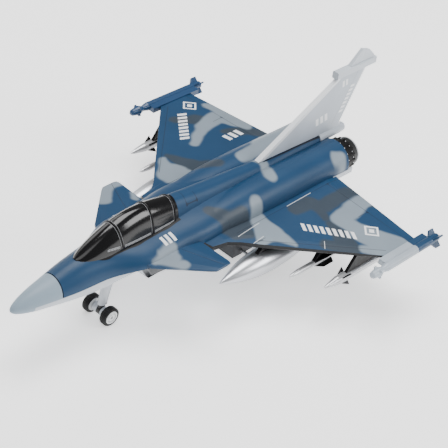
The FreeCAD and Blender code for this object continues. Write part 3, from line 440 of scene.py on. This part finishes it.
def start_finish(name, roughness, scuffs=0.25, ripple_size=0.5, bump=0.06):
    """A material with the moulded skin wired to gloss and bump; returns what colours need."""
    material = bpy.data.materials.new(name)
    material.use_nodes = True
    tree = material.node_tree
    shader = tree.nodes["Principled BSDF"]
    skin = use(tree, skin_group, Ripple_Size=ripple_size, Scuffs=scuffs)
    scuffed = maths(tree, "MULTIPLY_ADD", skin.outputs["Scuff"], SCUFF_DULLING, roughness)
    cloudy = maths(tree, "MULTIPLY", skin.outputs["Cloud"], CLOUD_DULLING)
    tree.links.new(maths(tree, "ADD", scuffed, cloudy), shader.inputs["Roughness"])
    bumper = node(tree, "ShaderNodeBump", Strength=bump, Distance=BUMP_DEPTH)
    tree.links.new(skin.outputs["Height"], bumper.inputs["Height"])
    tree.links.new(bumper.outputs[0], shader.inputs["Normal"])
    return material, tree, shader, skin, bumper


def layer(tree, below, above, mask):
    """Lays one colour over another where the mask is white."""
    mix = tree.nodes.new("ShaderNodeMix")
    mix.data_type = "RGBA"
    for socket, value in ((mix.inputs[0], mask), (mix.inputs[6], below), (mix.inputs[7], above)):
        if isinstance(value, bpy.types.NodeSocket):
            tree.links.new(value, socket)
        else:
            socket.default_value = value
    return mix.outputs[2]


def clouded(tree, skin, colour, strength=0.12):
    """A colour that drifts a little lighter and darker over the part."""
    darker = tuple(c * (1 - strength) for c in colour[:3]) + (1.0,)
    lighter = tuple(min(1.0, c * (1 + strength)) for c in colour[:3]) + (1.0,)
    return layer(tree, darker, lighter, skin.outputs["Cloud"])


def plain_finish(name, colour, roughness, scuffs=0.25, metallic=0.0, strength=0.12,
                 ripple_size=0.5, bump=0.06, specular=0.5):
    """A self-coloured plastic or metal."""
    material, tree, shader, skin, _ = start_finish(name, roughness, scuffs, ripple_size, bump)
    tree.links.new(clouded(tree, skin, colour, strength), shader.inputs["Base Color"])
    shader.inputs["Metallic"].default_value = metallic
    shader.inputs["Specular IOR Level"].default_value = specular
    return material


def dress(material, *names):
    """Gives a carried-over node its finish."""
    for name in names:
        slots = nodes[name].data.materials
        slots.clear()
        slots.append(material)


print("finish helpers ready")

# %% [markdown]
# ### Sprayed blue skin
# The upper shell, wings and canards share one paint job, so they share one function. The nose
# cone is a separate pale grey with a thin dark ring behind it, and the underside of the wings is
# black. A few panel edges carry painted white highlights, where their lit side catches the light.
# Panel lines are pressed into the surface with the bump as well as darkened.

# %% Colours and lines of the paint job
BLUE, SLATE, PALE = paint(25, 59, 90), paint(49, 60, 71), paint(124, 136, 146)
INK, WHITE = paint(24, 30, 42), paint(232, 234, 236)
DEEP_BLACK, UNDERSIDE_BLACK, CONE_GREY = paint(5, 5, 7), paint(26, 27, 30), paint(136, 153, 167)
CONE_END, RING_STATION, RING_HALF = 21.0, 21.05, 0.22

# the black seat painted round the canopy, the dark gap beside the fin, and painted white highlights on
# some lit panel edges
CANOPY_SEAT = [(0, 35.6, 0, 44.5, 3.4, 6.5), (0, 44.5, 0, 59.5, 6.5, 7.8),
               (0, 59.5, 0, 76.0, 7.8, 7.7), (0, 76.0, 0, 83.0, 7.7, 7.4)]
CANOPY_SEAT_END = 83.7
FIN_GAP, FIN_GAP_MIDDLE, FIN_GAP_HALF = [(1.3, 138.0, 1.5, 178.0, 0.2, 0.45)], 159.0, 19.0
# painted highlights: thin white lines along lit panel edges
EDGE_HIGHLIGHTS = [(23.4, 103.0, 22.3, 117.0), (21.3, 136.0, 20.9, 152.0), (50.2, 128.4, 47.0, 131.6),
              (30.0, 105.6, 29.6, 112.0), (-21.0, 158.0, -21.2, 166.0)]
HIGHLIGHT_WIDTH, CRISP, CRISPER = 0.1, 0.12, 0.1
LINE_STRENGTH, LINE_DEPTH = 0.75, 3.0
FACES_DOWN_BELOW = 0.25
print("paint job:", len(CANOPY_SEAT), "seat strokes,", len(EDGE_HIGHLIGHTS), "painted edge highlights")

# %% [markdown]
# Each area of the paint job gets a small function that lays its colours over what is there, in a
# painter's order: large patches, then masked areas, panel lines, marks and wear.

# %% Areas of the paint job
def nose_and_seat(tree, skin, station, point, colour):
    """The nose cone and its ring, the canopy seat and the gap beside the fin."""
    cone = maths(tree, "LESS_THAN", station, CONE_END)
    colour = layer(tree, colour, clouded(tree, skin, CONE_GREY), cone)
    ring = maths(tree, "COMPARE", station, RING_STATION, RING_HALF)
    colour = layer(tree, colour, INK, ring)
    seat = maths(tree, "MULTIPLY", strokes_mask(tree, point, CANOPY_SEAT, CRISP),
                 maths(tree, "LESS_THAN", station, CANOPY_SEAT_END))
    colour = layer(tree, colour, DEEP_BLACK, seat)
    beside_fin = maths(tree, "MULTIPLY",
                       maths(tree, "COMPARE", station, FIN_GAP_MIDDLE, FIN_GAP_HALF),
                       strokes_mask(tree, point, FIN_GAP, CRISPER))
    return layer(tree, colour, INK, beside_fin)


def with_marks(tree, point, colour, marks):
    """White marks: (centre, size) is a diamond, and a longer row is what bar_row takes."""
    for mark in marks:
        if len(mark) == 2:
            centre, size = mark
            mask = use(tree, diamond_group, Point=point, Centre=(*centre, 0), Size=size).outputs[0]
        else:
            mask = bar_row(tree, point, *mark)
        colour = layer(tree, colour, WHITE, mask)
    return colour


def edge_highlights_and_black_below(tree, point, colour):
    """Painted white highlights along some lit panel edges on top, and black wherever the surface faces
    down.
    """
    edges = [(*edge, HIGHLIGHT_WIDTH, HIGHLIGHT_WIDTH) for edge in EDGE_HIGHLIGHTS]
    colour = layer(tree, colour, WHITE, strokes_mask(tree, point, edges, CRISP))
    normal = tree.nodes.new("ShaderNodeTexCoord").outputs["Normal"]
    facing = node(tree, "ShaderNodeSeparateXYZ", _0=normal).outputs[2]
    below = maths(tree, "LESS_THAN", facing, FACES_DOWN_BELOW)
    return layer(tree, colour, UNDERSIDE_BLACK, below)


print("paint areas ready")


# %% Sprayed finishes
def camouflage_finish(name, marks, nose_cone=False, black_below=False):
    """The blue, slate and pale paint job, with the marks and areas of one part."""
    material, tree, shader, skin, bumper = start_finish(name, 0.36, scuffs=0.3)
    camo = use(tree, camo_group, Overspray=0.95)
    point, line = camo.outputs["Plan"], camo.outputs["Line"]
    colour = clouded(tree, skin, BLUE)
    for patch, patch_colour in (("Slate", SLATE), ("Pale", PALE), ("Blue", BLUE)):
        colour = layer(tree, colour, clouded(tree, skin, patch_colour), camo.outputs[patch])
    if nose_cone:
        colour = nose_and_seat(tree, skin, camo.outputs["Station"], point, colour)
    colour = layer(tree, colour, INK, maths(tree, "MULTIPLY", line, LINE_STRENGTH))
    colour = with_marks(tree, point, colour, marks)
    # painted white highlights on lit panel edges, and black where the part faces down
    if black_below:
        colour = edge_highlights_and_black_below(tree, point, colour)
    tree.links.new(colour, shader.inputs["Base Color"])
    shader.inputs["Specular IOR Level"].default_value = 0.25
    pressed = maths(tree, "MULTIPLY", line, LINE_DEPTH)
    tree.links.new(maths(tree, "SUBTRACT", skin.outputs["Height"], pressed), bumper.inputs["Height"])
    return material


body_marks = [((11.5, 73.0), (0, 1), 7.5, 4.0, 3.0), ((-14.8, 73.5), (0, 1), 15.0, 3.4, 7.0)]
wing_marks = [((44.0, 138.8), (18.5, 16.0), 24.5, 4.6, 9.0),
              ((-49.5, 142.8), (17.0, -15.0), 23.0, 4.4, 8.0),
              ((-31.0, 157.3), (0, 1), 11.0, 4.6, 3.0), ((54.4, 154.6), 4.4), ((-61.0, 158.4), 4.4)]
dress(camouflage_finish("sprayed_body", body_marks, nose_cone=True), "upper_fuselage")
dress(camouflage_finish("sprayed_wing", wing_marks, black_below=True), "wing_plate")
dress(camouflage_finish("sprayed_canard", []), "canard_plate")
print("dressed the sprayed parts")

# %% [markdown]
# ### Self-coloured plastics
# The belly, legs, fin, canopy, pylons and nozzles are moulded in their own colour. They differ
# in tint and gloss only, so one helper makes them all, and each finish is given to its nodes.

# %% Plain finishes
dress(plain_finish("leg_grey", paint(190, 195, 202), 0.36), "main_gear_leg_left", "main_gear_leg_right")
dress(plain_finish("pylon_black", paint(12, 12, 14), 0.42, specular=0.2),
      *(f"{kind}_pylon_{side}" for kind in ("inner", "outer", "tank") for side in ("left", "right")))
dress(plain_finish("nozzle_black", paint(8, 8, 9), 0.42, scuffs=0.5, specular=0.2), "nozzle_left",
      "nozzle_right")
dress(plain_finish("canopy_black", DEEP_BLACK, 0.12, scuffs=0.1, bump=0.015), "canopy")
dress(plain_finish("wheel_white", paint(226, 227, 228), 0.34), "nose_hub_left", "nose_hub_right",
      "main_hub_left", "main_hub_right")
dress(plain_finish("case_grey", paint(52, 54, 58), 0.5), "motor_case_left", "motor_case_right")
dress(plain_finish("acetal", paint(232, 228, 214), 0.35), "drive_pinion", "idler_gear", "spring_drum")
dress(plain_finish("drawn_steel", paint(190, 190, 192), 0.24, scuffs=0.8, metallic=1.0, ripple_size=0.2),
      "nose_axle", "main_axle", "idler_shaft", "drum_arbor")
dress(plain_finish("blued_spring", paint(92, 98, 118), 0.3, scuffs=0.8, metallic=1.0), "mainspring")
dress(plain_finish("zinc_screw", paint(184, 184, 186), 0.28, scuffs=0.9, metallic=1.0, ripple_size=0.15),
      "motor_screws", "body_screws")
dress(plain_finish("metallised_silver", paint(196, 198, 203), 0.3, scuffs=0.35, metallic=0.9,
                   strength=0.05, ripple_size=1.4, bump=0.03), "drop_tank_left", "drop_tank_right")
print("plain finishes:", len([m for m in bpy.data.materials if m.use_nodes]))

# %% [markdown]
# Three parts have two colours. The belly carries painted shade round the air intakes, the nose leg
# has painted shade, a black band, in the slot between the wheels, and the nozzle petals are black
# with a pale rim. Each mask comes from where the point is, in millimetres from the nose tip.

# %% Two-colour plastics
def measured_point(tree):
    """Distance to port, station and height of the shaded point, in millimetres."""
    here = tree.nodes.new("ShaderNodeTexCoord").outputs["Object"]
    point = node(tree, "ShaderNodeSeparateXYZ", _0=here)
    return (maths(tree, "MULTIPLY", point.outputs[0], PER_METRE),
            maths(tree, "MULTIPLY_ADD", point.outputs[1], PER_METRE, -NOSE_Y),
            maths(tree, "MULTIPLY_ADD", point.outputs[2], PER_METRE, -NOSE_HEIGHT))


def soft_step(tree, value, start, end):
    """0 before start, 1 after end, smooth between."""
    return node(tree, "ShaderNodeMapRange", {"interpolation_type": "SMOOTHSTEP"},
                _0=value, _1=start, _2=end, _3=0.0, _4=1.0).outputs[0]


def two_colours(name, colour, second, roughness, mask_of):
    """A plastic with a second colour where mask_of(tree, x, station, height) is white."""
    material, tree, shader, skin, _ = start_finish(name, roughness)
    mask = mask_of(tree, *measured_point(tree))
    tree.links.new(layer(tree, clouded(tree, skin, colour), clouded(tree, skin, second), mask),
                   shader.inputs["Base Color"])
    return material


def intake_painted_shade(tree, x, station, height):
    """Painted shade round the intake mouths, fading aft and towards the middle."""
    outboard = soft_step(tree, maths(tree, "ABSOLUTE", x), 8.2, 10.2)
    aft = soft_step(tree, station, 68.0, 82.0)
    fore = soft_step(tree, station, 54.0, 57.0)
    before = maths(tree, "MULTIPLY", outboard, fore)
    return maths(tree, "MULTIPLY", before, maths(tree, "SUBTRACT", 1.0, aft))


def leg_slot_painted_shade(tree, x, station, height):
    """Painted shade in the slot in the middle of the axle boss."""
    low = maths(tree, "LESS_THAN", height, -21.6)
    return maths(tree, "MULTIPLY", low, maths(tree, "COMPARE", x, 0.6, 1.1))


def petal_body(tree, x, station, height):
    """Everything ahead of the rim."""
    return maths(tree, "LESS_THAN", station, 190.6)


# the dark grey is painted shade round the intake mouths
dress(two_colours("belly_grey", paint(186, 192, 200), paint(48, 51, 56), 0.34, intake_painted_shade),
      "lower_fuselage")
# the black band is painted shade in the fork's slot between the wheels
dress(two_colours("nose_leg_grey", paint(190, 195, 202), paint(20, 20, 22), 0.36, leg_slot_painted_shade),
      "nose_gear_leg")
dress(two_colours("petal_grey", paint(176, 180, 184), paint(9, 9, 10), 0.45, petal_body),
      "nozzle_petals_left", "nozzle_petals_right")
print("two-colour parts dressed")

# %% [markdown]
# ### Missiles
# A missile is silver with black fins. One material does both colours, because a fin stands
# further from the missile's axis than its body does. The tip missiles are painted instead: the
# port one is pale at the front and blue at the back, and the starboard one is blue all over.

# %% Missile finishes
FIN_CLEARANCE = 0.12


def axis_distance(tree, x, height):
    """How far a point is from a fore-and-aft axis, and its station, in millimetres."""
    point_x, station, point_height = measured_point(tree)
    across = maths(tree, "SUBTRACT", point_x, x)
    upward = maths(tree, "SUBTRACT", point_height, height)
    across2, upward2 = (maths(tree, "POWER", way, 2.0) for way in (across, upward))
    return maths(tree, "SQRT", maths(tree, "ADD", across2, upward2)), station


def missile_finish(name, x, height, radius, body, fins, split=None, rear=None, metallic=0.6):
    """A missile's body colour, its fins, and a rear colour aft of the split if it has one."""
    material, tree, shader, skin, _ = start_finish(name, 0.26, scuffs=0.5)
    away, station = axis_distance(tree, x, height)
    colour = clouded(tree, skin, body)
    if split is not None:
        aft = maths(tree, "GREATER_THAN", station, split)
        colour = layer(tree, colour, clouded(tree, skin, rear), aft)
    on_fin = maths(tree, "GREATER_THAN", away, radius + FIN_CLEARANCE)
    tree.links.new(layer(tree, colour, clouded(tree, skin, fins), on_fin), shader.inputs["Base Color"])
    shader.inputs["Metallic"].default_value = metallic
    return material


SILVER, BLACK = paint(196, 197, 200), paint(28, 28, 31)
SLIM_X, SLIM_HEIGHT, SLIM_RADIUS = 45.9, -7.8, 1.3
FAT_X, FAT_HEIGHT, FAT_RADIUS = 59.4, -8.4, 2.0
TIP_X, TIP_HEIGHT = 73.2, 1.6
TIP_SPLIT = 162.0
NO_FINS = 30.0  # further out than any fin, so the whole tip missile is body
for side, sign in (("left", 1), ("right", -1)):
    dress(missile_finish("slim_missile_" + side, sign * SLIM_X, SLIM_HEIGHT, SLIM_RADIUS, SILVER, BLACK),
          "inner_missile_" + side)
    dress(missile_finish("fat_missile_" + side, sign * FAT_X, FAT_HEIGHT, FAT_RADIUS, SILVER, BLACK),
          "outer_missile_" + side)
dress(missile_finish("tip_missile_pale", TIP_X, TIP_HEIGHT, NO_FINS, paint(160, 170, 180), BLUE,
                     split=TIP_SPLIT, rear=BLUE, metallic=0.0), "tip_missile_left")
dress(missile_finish("tip_missile_blue", -TIP_X, TIP_HEIGHT, NO_FINS, paint(28, 62, 98), BLUE,
                     metallic=0.0), "tip_missile_right")

print("missiles dressed")

# %% [markdown]
# ### Fin
# The fin is pale grey with a lighter strip along its leading and trailing edges, a lighter top,
# and a thin rudder line. It is painted from the side, so its strokes run in station and height.
# Plain bars stand in for its lettering.

# %% Fin finish
LEAD_STRIP, LEAD_COLOUR = [(136.9, 15.0, 184.0, 41.6, 1.8, 1.8)], paint(222, 225, 229)
TAIL_STRIP, TAIL_COLOUR = [(192.0, 16.0, 203.0, 41.0, 0.9, 0.9)], paint(214, 218, 223)
RUDDER_LINE, RUDDER_COLOUR = [(185.6, 17.0, 198.4, 41.4, 0.07, 0.07)], paint(120, 128, 138)
FIN_TOP_HEIGHT = 41.4
FIN_BARS = [((178.0, 22.4), (1.0, 0.12), 9.0, 4.0, 3.0), ((193.6, 28.5), (0.44, 1.0), 15.0, 2.6, 7.0),
            ((190.5, 37.4), (1.0, 0.12), 4.6, 3.4, 2.0)]

fin_finish, tree, shader, skin, _ = start_finish("fin_grey", 0.34, scuffs=0.3)
_, fin_station, fin_height = measured_point(tree)
side_point = node(tree, "ShaderNodeCombineXYZ", _0=fin_station, _1=fin_height, _2=0.0).outputs[0]
colour = clouded(tree, skin, paint(176, 184, 194), 0.16)
colour = layer(tree, colour, LEAD_COLOUR, strokes_mask(tree, side_point, LEAD_STRIP, 0.3))
colour = layer(tree, colour, TAIL_COLOUR, strokes_mask(tree, side_point, TAIL_STRIP, 0.25))
top = maths(tree, "GREATER_THAN", fin_height, FIN_TOP_HEIGHT)
colour = layer(tree, colour, clouded(tree, skin, paint(190, 197, 205), 0.1), top)
colour = with_marks(tree, side_point, colour, FIN_BARS)
colour = layer(tree, colour, RUDDER_COLOUR, strokes_mask(tree, side_point, RUDDER_LINE, CRISP))
tree.links.new(colour, shader.inputs["Base Color"])
dress(fin_finish, "tail_fin")
print("fin:", len(tree.nodes), "nodes")

# %% [markdown]
# ### Rules for what repeats
# Tyres, canopy rails, the ladder strips along the canopy sill and the nozzle studs all repeat a
# small shape along a line or round a ring. Geometry Nodes build them from named inputs. Each time a
# rule runs on a seed object, its result is copied into an ordinary mesh at the origin, and the seed is
# removed.

# %% Rule helpers
SOCKET_KINDS = {"length": "NodeSocketFloat", "count": "NodeSocketInt", "arrow": "NodeSocketVector",
                "choice": "NodeSocketBool", "material": "NodeSocketMaterial"}


def rule(name, inputs):
    """An empty Geometry Nodes rule that takes a path and the named inputs."""
    tree = bpy.data.node_groups.new(name, "GeometryNodeTree")
    tree.interface.new_socket("Path", in_out="INPUT", socket_type="NodeSocketGeometry")
    for label, kind in inputs:
        tree.interface.new_socket(label, in_out="INPUT", socket_type=SOCKET_KINDS[kind])
    tree.interface.new_socket("Shape", in_out="OUTPUT", socket_type="NodeSocketGeometry")
    return tree, tree.nodes.new("NodeGroupInput"), tree.nodes.new("NodeGroupOutput")


def grow(name, tree, settings, path=((0, 0, 0),)):
    """Runs a rule on a path of points and keeps the result as a plain mesh object."""
    line = bpy.data.meshes.new(name + "_path")
    line.from_pydata(path, [(i, i + 1) for i in range(len(path) - 1)], [])
    seed = bpy.data.objects.new(name + "_seed", line)
    bpy.context.scene.collection.objects.link(seed)
    modifier = seed.modifiers.new("rule", "NODES")
    modifier.node_group = tree
    for item in tree.interface.items_tree:
        if item.in_out == "INPUT" and item.name in settings:
            modifier[item.identifier] = settings[item.name]
    ready = seed.evaluated_get(bpy.context.evaluated_depsgraph_get())
    shape = bpy.data.meshes.new_from_object(ready)
    shape.name = name
    bpy.data.objects.remove(seed)
    bpy.data.meshes.remove(line)
    piece = bpy.data.objects.new(name, shape)
    bpy.context.scene.collection.objects.link(piece)
    for face in shape.polygons:
        face.use_smooth = True
    return piece


def finish_shape(tree, out, shapes, material):
    """Joins shapes, makes the copies real and gives them all one material."""
    joined = tree.nodes.new("GeometryNodeJoinGeometry")
    for shape in reversed(shapes):
        tree.links.new(shape, joined.inputs[0])
    real = node(tree, "GeometryNodeRealizeInstances", _0=joined.outputs[0])
    coated = node(tree, "GeometryNodeSetMaterial", Geometry=real.outputs[0], Material=material)
    tree.links.new(coated.outputs[0], out.inputs[0])


print("rule helpers ready")

# %% [markdown]
# **The tyre rule.** A rounded rectangle is swept round a circle, which gives a closed ring with
# soft shoulders. Low tread bars sit in the ring's outer face, each turned to face away from the
# axle. The whole ring is then turned so that its axle runs from side to side.

# %% Tyre rule
tyre_rule, given, out = rule("tyre", [("Radius", "length"), ("Bore", "length"), ("Width", "length"),
                                      ("Shoulder", "length"), ("Bars", "count"), ("Bar Size", "arrow"),
                                      ("Bar Sink", "length"), ("Centre", "arrow"),
                                      ("Rubber", "material")])
wall = maths(tyre_rule, "SUBTRACT", given.outputs["Radius"], given.outputs["Bore"])
section = node(tyre_rule, "GeometryNodeCurvePrimitiveQuadrilateral", _0=wall, _1=given.outputs["Width"])
rounded = node(tyre_rule, "GeometryNodeFilletCurve", {"mode": "POLY"}, Curve=section.outputs[0],
               Count=4, Radius=given.outputs["Shoulder"])
both_radii = maths(tyre_rule, "ADD", given.outputs["Radius"], given.outputs["Bore"])
hoop = node(tyre_rule, "GeometryNodeCurvePrimitiveCircle", {"mode": "RADIUS"}, Resolution=56,
            Radius=maths(tyre_rule, "MULTIPLY", both_radii, 0.5))
band = node(tyre_rule, "GeometryNodeCurveToMesh", _0=hoop.outputs[0], Profile_Curve=rounded.outputs[0])
spots = node(tyre_rule, "GeometryNodeMeshCircle", Vertices=given.outputs["Bars"],
             Radius=maths(tyre_rule, "SUBTRACT", given.outputs["Radius"], given.outputs["Bar Sink"]))
bar = node(tyre_rule, "GeometryNodeMeshCube", Size=given.outputs["Bar Size"])
outward = node(tyre_rule, "FunctionNodeAlignRotationToVector", {"axis": "X"},
               Vector=tyre_rule.nodes.new("GeometryNodeInputPosition").outputs[0])
bars = node(tyre_rule, "GeometryNodeInstanceOnPoints", Points=spots.outputs[0], Instance=bar.outputs[0],
            Rotation=outward.outputs[0])
both = tyre_rule.nodes.new("GeometryNodeJoinGeometry")
tyre_rule.links.new(bars.outputs[0], both.inputs[0])
tyre_rule.links.new(band.outputs[0], both.inputs[0])
turned = node(tyre_rule, "GeometryNodeTransform", Geometry=both.outputs[0],
              Translation=given.outputs["Centre"], Rotation=(0.0, math.pi / 2, 0.0))
finish_shape(tyre_rule, out, [turned.outputs[0]], given.outputs["Rubber"])
print("tyre rule:", len(tyre_rule.nodes), "nodes")

# %% [markdown]
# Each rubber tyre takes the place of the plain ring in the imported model. Its width comes from
# that ring, and it rides on the body of its own axle, so it turns with its hub.

# %% Tyres
TYRE_RADIUS, TYRE_BORE, TYRE_SHOULDER = 4.25, 2.9, 0.62
TREAD_BARS, BAR_HEIGHT, BAR_LENGTH, BAR_SINK = 30, 0.34, 0.42, 0.12
TREAD_COVER = 0.62
rubber = plain_finish("tyre_black", paint(11, 11, 12), 0.5, scuffs=0.5, strength=0.2,
                      ripple_size=0.3, specular=0.3)
for pair, body in (("nose_tyre", "nose_wheels"), ("main_tyre", "main_wheels")):
    for side in ("_left", "_right"):
        low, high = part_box(pair + side)
        centre, width = (low + high) / 2, high.x - low.x
        tyre = grow("visual_" + pair + side, tyre_rule, {
            "Radius": TYRE_RADIUS * MM, "Bore": TYRE_BORE * MM, "Width": width,
            "Shoulder": TYRE_SHOULDER * MM, "Bars": TREAD_BARS, "Bar Sink": BAR_SINK * MM,
            "Bar Size": (BAR_HEIGHT * MM, BAR_LENGTH * MM, width * TREAD_COVER),
            "Centre": centre, "Rubber": rubber})
        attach(tyre, body)
        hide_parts(pair + side)
print("tyres:", len(tyre.data.polygons), "faces each")

# %% [markdown]
# **The rail rule.** A path becomes a thin round bead. Ties, small blocks turned along the path,
# are set on it at an even step where it is to be a ladder.

# %% Rail rule
rail_rule, given, out = rule("rail", [("Bead", "length"), ("Ladder", "choice"), ("Step", "length"),
                                      ("Tie Size", "arrow"), ("Finish", "material")])
line = node(rail_rule, "GeometryNodeMeshToCurve", _0=given.outputs["Path"])
round_profile = node(rail_rule, "GeometryNodeCurvePrimitiveCircle", {"mode": "RADIUS"}, Resolution=8,
                     Radius=given.outputs["Bead"])
bead = node(rail_rule, "GeometryNodeCurveToMesh", _0=line.outputs[0],
            Profile_Curve=round_profile.outputs[0], Fill_Caps=True)
stops = node(rail_rule, "GeometryNodeCurveToPoints", {"mode": "LENGTH"}, Curve=line.outputs[0],
             Length=given.outputs["Step"])
tie = node(rail_rule, "GeometryNodeMeshCube", Size=given.outputs["Tie Size"])
along = node(rail_rule, "FunctionNodeAlignRotationToVector", {"axis": "Y"},
             Vector=stops.outputs["Tangent"])
ties = node(rail_rule, "GeometryNodeInstanceOnPoints", Points=stops.outputs[0], Instance=tie.outputs[0],
            Rotation=along.outputs[0])
chosen = node(rail_rule, "GeometryNodeSwitch", {"input_type": "GEOMETRY"},
              Switch=given.outputs["Ladder"], _2=ties.outputs[0])
finish_shape(rail_rule, out, [bead.outputs[0], chosen.outputs[0]], given.outputs["Finish"])
print("rail rule:", len(rail_rule.nodes), "nodes")

# %% [markdown]
# The paths have to lie on the canopy's skin. They could be typed in point by point, but a ray
# shot at the canopy from outside finds the skin itself.

# %% Points on the canopy
RAY_START = 0.03
CANOPY_AXIS_HEIGHT = 9.5
SILL_ANGLE, SILL_DROP, WINDSCREEN_STATION, WINDSCREEN_LENGTH = 63.0, 11.0, 43.0, 11.0
canopy_mesh = nodes["canopy"].data
canopy_skin = BVHTree.FromPolygons([v.co for v in canopy_mesh.vertices],
                                   [face.vertices for face in canopy_mesh.polygons])


def on_canopy(station, angle, lift=0.0):
    """The point of the canopy seen from outside at an angle from its crown, lifted off its skin."""
    axis_point = place(0.0, station, CANOPY_AXIS_HEIGHT)
    outward = Vector((math.sin(math.radians(angle)), 0.0, math.cos(math.radians(angle))))
    hit, normal, _, _ = canopy_skin.ray_cast(axis_point + outward * RAY_START, -outward)
    return tuple(hit + normal * lift * MM)


def sill_angle(station):
    """The sill's angle from the crown. The sill rises a little towards the windscreen."""
    share = (station - WINDSCREEN_STATION) / WINDSCREEN_LENGTH
    return SILL_ANGLE + SILL_DROP * min(1.0, max(0.0, share))


print("crown of the canopy:", [round(c, 4) for c in on_canopy(68.0, 0.0)])

# %% [markdown]
# Three black arches cross the canopy, each between two thin silver beads, painted highlights that
# stand in for the glints along the arch's edges. Along each sill run three silver ladders with a
# plain silver bead above them, one for each pane.

# %% Canopy rails
# each arch's station at the crown and at the sill, and each bead's shift, radius and finish
ARCHES = ((50.3, 51.8), (68.0, 68.2), (81.6, 81.3))
ARCH_END, ARCH_STEP, ARCH_LIFT = 72, 6, 0.02
frame_black = plain_finish("frame_black", DEEP_BLACK, 0.3, bump=0.02, specular=0.25)
frame_silver_and_glint = plain_finish("frame_silver_and_glint", paint(168, 170, 174), 0.4, strength=0.05)
# the two thin silver beads beside each black arch are painted highlights for its glints; the sill beads
# and ladders are silver
ARCH_BEADS = ((0.0, 0.5, frame_black), (-0.56, 0.07, frame_silver_and_glint), (0.56, 0.07, frame_silver_and_glint))
# the first and last station of each pane's ladder, and how far each sill bead stands above it
PANES = ((44.5, 50.2), (53.0, 66.8), (69.4, 80.4))
SILL_BEADS = ((0.0, True), (5.0, False))
SILL_BEAD, SILL_STEP, SILL_LIFT, TIE = 0.08, 0.7, 0.04, (0.1, 0.2, 1.15)

rails = []
for at_crown, at_sill in ARCHES:
    for shift, bead_size, finish in ARCH_BEADS:
        path = []
        for angle in range(-ARCH_END, ARCH_END + 1, ARCH_STEP):
            lean = (at_sill - at_crown) * abs(angle) / ARCH_END
            path.append(on_canopy(at_crown + lean + shift, angle, ARCH_LIFT))
        rails.append(grow(f"canopy_rail_{len(rails)}", rail_rule,
                          {"Bead": bead_size * MM, "Ladder": False, "Finish": finish}, path))
for side in (1, -1):
    for first, last in PANES:
        steps = int((last - first) / SILL_STEP)
        stations = [first + (last - first) * i / steps for i in range(steps + 1)]
        for rise, ties_on in SILL_BEADS:
            path = [on_canopy(s, side * (sill_angle(s) - rise), SILL_LIFT) for s in stations]
            rails.append(grow(f"canopy_rail_{len(rails)}", rail_rule, {
                "Bead": SILL_BEAD * MM, "Ladder": ties_on, "Step": SILL_STEP * MM,
                "Tie Size": tuple(side_of_tie * MM for side_of_tie in TIE),
                "Finish": frame_silver_and_glint}, path))
for rail in rails:
    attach(rail, "airframe")
print("canopy rails:", len(rails))

# %% [markdown]
# **The stud rule.** Low domed studs stand round each black nozzle ring, one on every rib.

# %% Stud rule
stud_rule, given, out = rule("studs", [("Ring", "length"), ("Count", "count"), ("Stud", "length"),
                                       ("Centre", "arrow"), ("Finish", "material")])
ring_spots = node(stud_rule, "GeometryNodeMeshCircle", Vertices=given.outputs["Count"],
                  Radius=given.outputs["Ring"])
stud = node(stud_rule, "GeometryNodeMeshUVSphere", Segments=8, Rings=5, Radius=given.outputs["Stud"])
studs = node(stud_rule, "GeometryNodeInstanceOnPoints", Points=ring_spots.outputs[0],
             Instance=stud.outputs[0])
standing = node(stud_rule, "GeometryNodeTransform", Geometry=studs.outputs[0],
                Translation=given.outputs["Centre"], Rotation=(math.pi / 2, 0.0, 0.0))
finish_shape(stud_rule, out, [standing.outputs[0]], given.outputs["Finish"])
print("stud rule:", len(stud_rule.nodes), "nodes")

# %% Nozzle studs
# each row's station and ring radius
STUD_ROWS = ((181.9, 8.66), (186.0, 8.04))
STUDS_IN_ROW, STUD_RADIUS = 18, 0.24
BARREL_X, BARREL_HEIGHT = 9.15, 4.65
stud_finish = plain_finish("stud_bright", paint(214, 216, 220), 0.3, metallic=0.4, strength=0.05)
for side, sign in (("left", 1), ("right", -1)):
    for row, (row_station, ring_radius) in enumerate(STUD_ROWS):
        ring_of_studs = grow(f"nozzle_studs_{side}_{row}", stud_rule, {
            "Ring": ring_radius * MM, "Count": STUDS_IN_ROW, "Stud": STUD_RADIUS * MM,
            "Centre": place(sign * BARREL_X, row_station, BARREL_HEIGHT), "Finish": stud_finish})
        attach(ring_of_studs, "airframe")
print("studs:", len(ring_of_studs.data.polygons), "faces a row")
